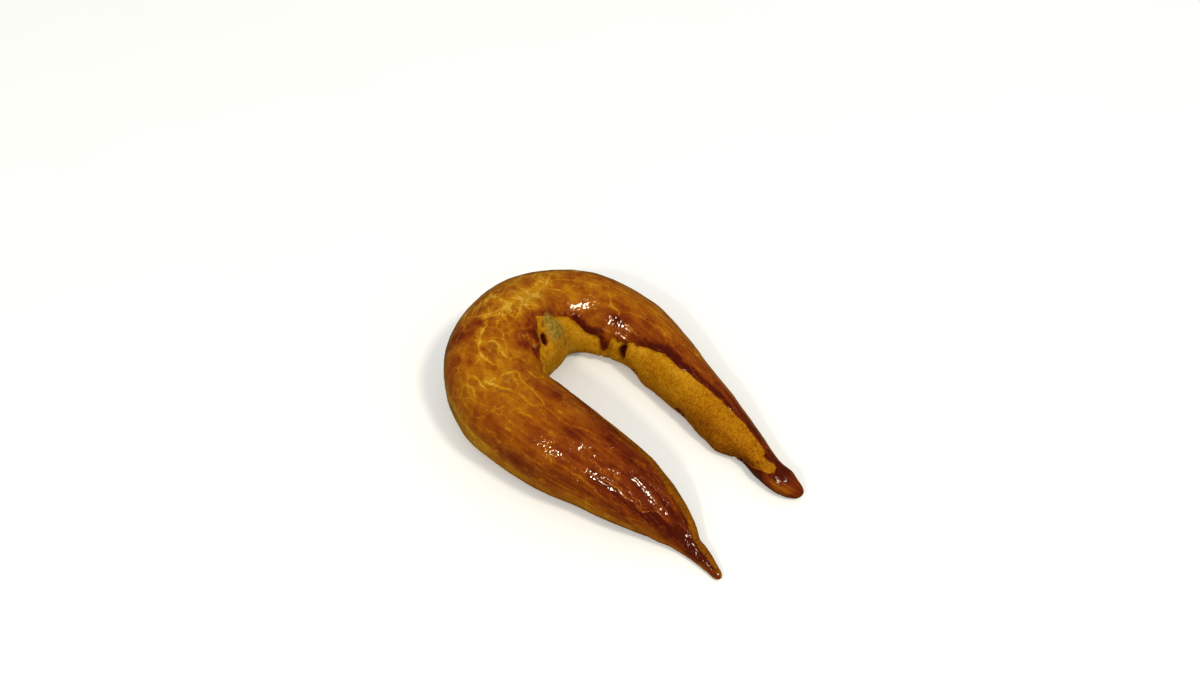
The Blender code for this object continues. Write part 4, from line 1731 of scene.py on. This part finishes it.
        shaped = plain + outward(plain) * relief[..., None]
        shaped[..., 2] = np.where(on_foot, 0.0, np.maximum(shaped[..., 2], 0.0))
        inside_cap = 1.0 - np.minimum(from_tip / self.cap_length, 1.0)
        round_off = np.sqrt(np.clip(1.0 - inside_cap**2, 0.0, 1.0))
        middle = shaped[:, :-1].mean(axis=1, keepdims=True)
        return middle + (shaped - middle) * round_off[..., None]

    def placed(self, points: np.ndarray) -> np.ndarray:
        """The same points in metres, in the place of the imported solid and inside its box."""
        low, high = points.reshape(-1, 3).min(axis=0), points.reshape(-1, 3).max(axis=0)
        box_low, box_high = (np.array(corner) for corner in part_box("crescent_roll"))
        middle, box_middle = (low + high) / 2.0 * MM, (box_low + box_high) / 2.0
        self.shift = box_middle - middle
        self.shift[2] = box_low[2] - low[2] * MM
        return np.clip(points * MM + self.shift, box_low, box_high)

    def wrapped(
        self, points: np.ndarray, fields: dict[str, np.ndarray], flat: np.ndarray, finish: bpy.types.Material
    ) -> bpy.types.Object:
        """Wraps a grid round the loaf and welds its seam and ends.

        Args:
            points: Place of each grid point, in metres.
            fields: Painted values of each grid point.
            flat: Skin coordinates of each grid point.
            finish: The crust's material.

        Returns:
            The crust as an object.
        """
        last_ring, last_point = points.shape[0] - 1, points.shape[1] - 1
        shape = bmesh.new()
        bmesh.ops.create_grid(shape, x_segments=last_ring, y_segments=last_point, size=0.5)
        layers = {name: shape.verts.layers.float.new(name) for name in fields}
        skin = shape.loops.layers.uv.new(SKIN_MAP)
        spots = {}
        for vertex in shape.verts:
            ring = round((vertex.co.x + 0.5) * last_ring)
            place = round((vertex.co.y + 0.5) * last_point)
            spots[vertex] = (ring, place)
            vertex.co = Vector(points[ring, place])
            for name, layer in layers.items():
                vertex[layer] = float(fields[name][ring, place])
        for face in shape.faces:
            for loop in face.loops:
                loop[skin].uv = flat[spots[loop.vert]]
        bmesh.ops.remove_doubles(shape, verts=shape.verts, dist=self.weld * MM)
        bmesh.ops.recalc_face_normals(shape, faces=shape.faces)
        return as_piece("crust", shape, finish)


@dataclass(frozen=True)
class Crumb:
    """One burnt crumb: its place on the skin and its radius in millimetres."""

    along: float
    around: float
    radius: float


CRUMBS = (
    Crumb(182.4, 0.775, 0.7),
    Crumb(183.5, 0.765, 0.6),
    Crumb(184.4, 0.78, 0.5),
    Crumb(181.2, 0.785, 0.45),
    Crumb(161.5, 0.80, 0.45),
    Crumb(163.0, 0.80, 0.55),
    Crumb(164.2, 0.805, 0.4),
)


@dataclass
class BurntCrumbs:
    """Crumbs of glaze and dough that burnt on the tray, stuck to the foot of the slim leg."""

    form: LoafForm
    crumbs: tuple[Crumb, ...] = CRUMBS
    roughness: float = 0.5
    bump: float = 0.6  # length of the lumps on a crumb, as a share of its radius
    flatness: float = 0.75
    subdivisions: int = 3

    def build(self, shift: np.ndarray, finish: bpy.types.Material) -> bpy.types.Object:
        """Builds all the crumbs as one piece.

        Args:
            shift: From the form's own frame to the object's, in metres.
            finish: Their material.

        Returns:
            The finished piece.
        """
        shape = bmesh.new()
        for crumb in self.crumbs:
            place, _ = self.form.patch(crumb.along, crumb.around)
            made = bmesh.ops.create_icosphere(shape, subdivisions=self.subdivisions, radius=crumb.radius)
            for vertex in made["verts"]:
                spot = vertex.co / (crumb.radius * self.bump) + Vector(place)
                vertex.co *= 1.0 + self.roughness * noise.noise(spot)
            bmesh.ops.scale(shape, verts=made["verts"], vec=(1.0, 1.0, self.flatness))
            bmesh.ops.translate(shape, verts=made["verts"], vec=Vector(place))
        bmesh.ops.scale(shape, verts=shape.verts, vec=(MM, MM, MM))
        bmesh.ops.translate(shape, verts=shape.verts, vec=Vector(shift))
        low = CAD_BOX[0].z
        for vertex in shape.verts:
            vertex.co.z = max(vertex.co.z, low)
        return as_piece("foot_crumbs", shape, finish)


def as_piece(name: str, shape: bmesh.types.BMesh, finish: bpy.types.Material) -> bpy.types.Object:
    """Turns a finished bmesh into a smooth-shaded object at the origin.

    Args:
        name: Name of the piece.
        shape: The mesh, which is freed.
        finish: Its material.

    Returns:
        The object, linked to the scene.
    """
    mesh = bpy.data.meshes.new(name)
    shape.to_mesh(mesh)
    shape.free()
    mesh.shade_smooth()
    mesh.materials.append(finish)
    piece = bpy.data.objects.new(name, mesh)
    bpy.context.scene.collection.objects.link(piece)
    return piece


# ---------------------------------------------------------------------------------------------------------
# Studio
# ---------------------------------------------------------------------------------------------------------


@dataclass(frozen=True)
class Softbox:
    """One round soft light, aimed at the roll."""

    turn: float  # degrees round the roll from straight in front
    elevation: float
    power: float
    size: float
    distance: float = 0.9
    colour: Colour = (0.98, 0.89, 0.64)

    def build(self) -> None:
        """Hangs the light."""
        light = bpy.data.lights.new("softbox", "AREA")
        light.shape = "DISK"
        light.size = self.size
        light.energy = self.power
        light.color = self.colour
        lamp = bpy.data.objects.new("softbox", light)
        bpy.context.scene.collection.objects.link(lamp)
        turn, rise = math.radians(self.turn), math.radians(self.elevation)
        back = Vector((math.sin(turn) * math.cos(rise), -math.cos(turn) * math.cos(rise), math.sin(rise)))
        lamp.location = back * self.distance
        lamp.rotation_euler = back.to_track_quat("Z", "Y").to_euler()


SOFTBOXES = (
    Softbox(turn=11.0, elevation=61.0, power=3.1, size=0.165),
    Softbox(turn=-82.0, elevation=44.0, power=2.2, size=0.10),
)


@dataclass
class Studio:
    """Plain pale floor, soft light and the photograph's camera."""

    floor_size: float = 6.0
    floor_drop: float = 0.0001  # below the roll's foot
    floor_roughness: float = 0.9
    floor_specular: float = 0.1
    floor_tone: Grade = (60.0, 0.01)
    floor_colour: Colour = (0.89, 0.92, 0.96)
    floor_pale: Colour = (0.91, 0.94, 0.98)  # the floor is a little uneven in tone
    floor_glow: float = 0.12  # lifts the floor to clean white
    floor_bounce: Colour = (0.4, 0.4, 0.4)  # the floor lights the roll's sides less than a white one would
    floor_mirrored: Colour = (0.085, 0.075, 0.03)  # and the glaze mirrors it dark, as on a tray
    frame_width: float = 1200.0
    frame_height: float = 675.0
    focal_pixels: float = 1500.0
    sensor: float = 36.0
    nearest_shown: float = 0.01
    camera_distance: float = 0.45
    camera_turn: float = -47.7  # degrees round the roll from straight in front
    sight_elevation: float = 54.0  # degrees above the floor of the ray through the sighted pixel
    sighted_point: tuple[float, float, float] = (0.00116, -0.00102, 0.0)
    sighted_pixel: tuple[float, float] = (622.0, 425.0)
    softboxes: tuple[Softbox, ...] = SOFTBOXES
    sky_strength: float = 0.62
    gloss_strength: float = 0.03

    def build(self) -> None:
        """Builds the floor, the lights and the camera."""
        self.floor()
        self.sky()
        for softbox in self.softboxes:
            softbox.build()
        self.camera()

    def floor(self) -> None:
        """A large pale floor just under the roll's foot."""
        material, bench, shader = new_material("pale_floor")
        place = bench.scale(bench.node("TexCoord").outputs["Object"], 1.0 / MM)
        tone = mottled(bench, place, self.floor_tone)
        most = self.floor_tone[1]
        rays = bench.node("LightPath").outputs
        colour = bench.mix(bench.ramp(tone, -most, most), self.floor_colour, self.floor_pale)
        colour = bench.mix(rays["Is Diffuse Ray"], colour, self.floor_bounce)
        colour = bench.mix(rays["Is Glossy Ray"], colour, self.floor_mirrored)
        bench.feed(shader.inputs["Base Color"], colour)
        shader.inputs["Roughness"].default_value = self.floor_roughness
        shader.inputs["Specular IOR Level"].default_value = self.floor_specular
        glow = bench.mix(rays["Is Camera Ray"], (0.0, 0.0, 0.0), (1.0, 1.0, 1.0))
        bench.feed(shader.inputs["Emission Color"], glow)
        shader.inputs["Emission Strength"].default_value = self.floor_glow
        shape = bmesh.new()
        bmesh.ops.create_grid(shape, x_segments=4, y_segments=4, size=self.floor_size / 2)
        bmesh.ops.translate(shape, verts=shape.verts, vec=(0.0, 0.0, CAD_BOX[0].z - self.floor_drop))
        as_piece("floor", shape, material)

    def sky(self) -> None:
        """Even white light from all round, dimmer where the glaze mirrors it."""
        world = bpy.data.worlds.new("studio")
        world.use_nodes = True
        bench = Bench(world.node_tree)
        background = world.node_tree.nodes["Background"]
        mirrored = bench.node("LightPath").outputs["Is Glossy Ray"]
        bench.feed(background.inputs["Color"], (1.0, 1.0, 1.0))
        strength = bench.ramp(mirrored, 0.0, 1.0, self.sky_strength, self.gloss_strength)
        bench.feed(background.inputs["Strength"], strength)
        bpy.context.scene.world = world
        bpy.context.scene.view_settings.view_transform = "Standard"

    def camera(self) -> None:
        """The photograph's camera: the sighted point falls on the sighted pixel."""
        right_by = self.sighted_pixel[0] - self.frame_width / 2
        down_by = self.sighted_pixel[1] - self.frame_height / 2
        turn = math.radians(self.camera_turn)
        pitch = math.radians(self.sight_elevation) - math.atan(down_by / self.focal_pixels)
        level = Vector((-math.sin(turn), math.cos(turn), 0.0))
        right = Vector((math.cos(turn), math.sin(turn), 0.0))
        ahead = level * math.cos(pitch) - Vector((0.0, 0.0, math.sin(pitch)))
        up = level * math.sin(pitch) + Vector((0.0, 0.0, math.cos(pitch)))
        ray = (ahead * self.focal_pixels + right * right_by - up * down_by).normalized()
        spot = Vector(self.sighted_point) - ray * self.camera_distance
        lens = bpy.data.cameras.new("photo_camera")
        lens.sensor_width = self.sensor
        lens.lens = self.focal_pixels / self.frame_width * self.sensor
        lens.clip_start = self.nearest_shown
        holder = bpy.data.objects.new("photo_camera", lens)
        bpy.context.scene.collection.objects.link(holder)
        rows = [(right[k], up[k], -ahead[k], spot[k]) for k in range(3)]
        holder.matrix_world = Matrix((*rows, (0.0, 0.0, 0.0, 1.0)))
        bpy.context.scene.camera = holder


def main() -> None:
    """Builds the studio and the roll in order."""
    logging.basicConfig(level=logging.INFO, format="%(name)s: %(message)s")
    form = LoafForm()
    skin = Crust(form, GlazeEdge(), CrustMarks(form))
    crust = skin.build(CrustFinish().build())
    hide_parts("crescent_roll")
    crumbs = BurntCrumbs(form).build(skin.shift, BurntFinish().build())
    for piece in (crust, crumbs):
        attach(piece, "root")
        log.info("%s: %d faces", piece.name, len(piece.data.polygons))
    Studio().build()
    log.info("studio: floor, %d softboxes and camera", len(SOFTBOXES))


if __name__ == "__main__":
    main()
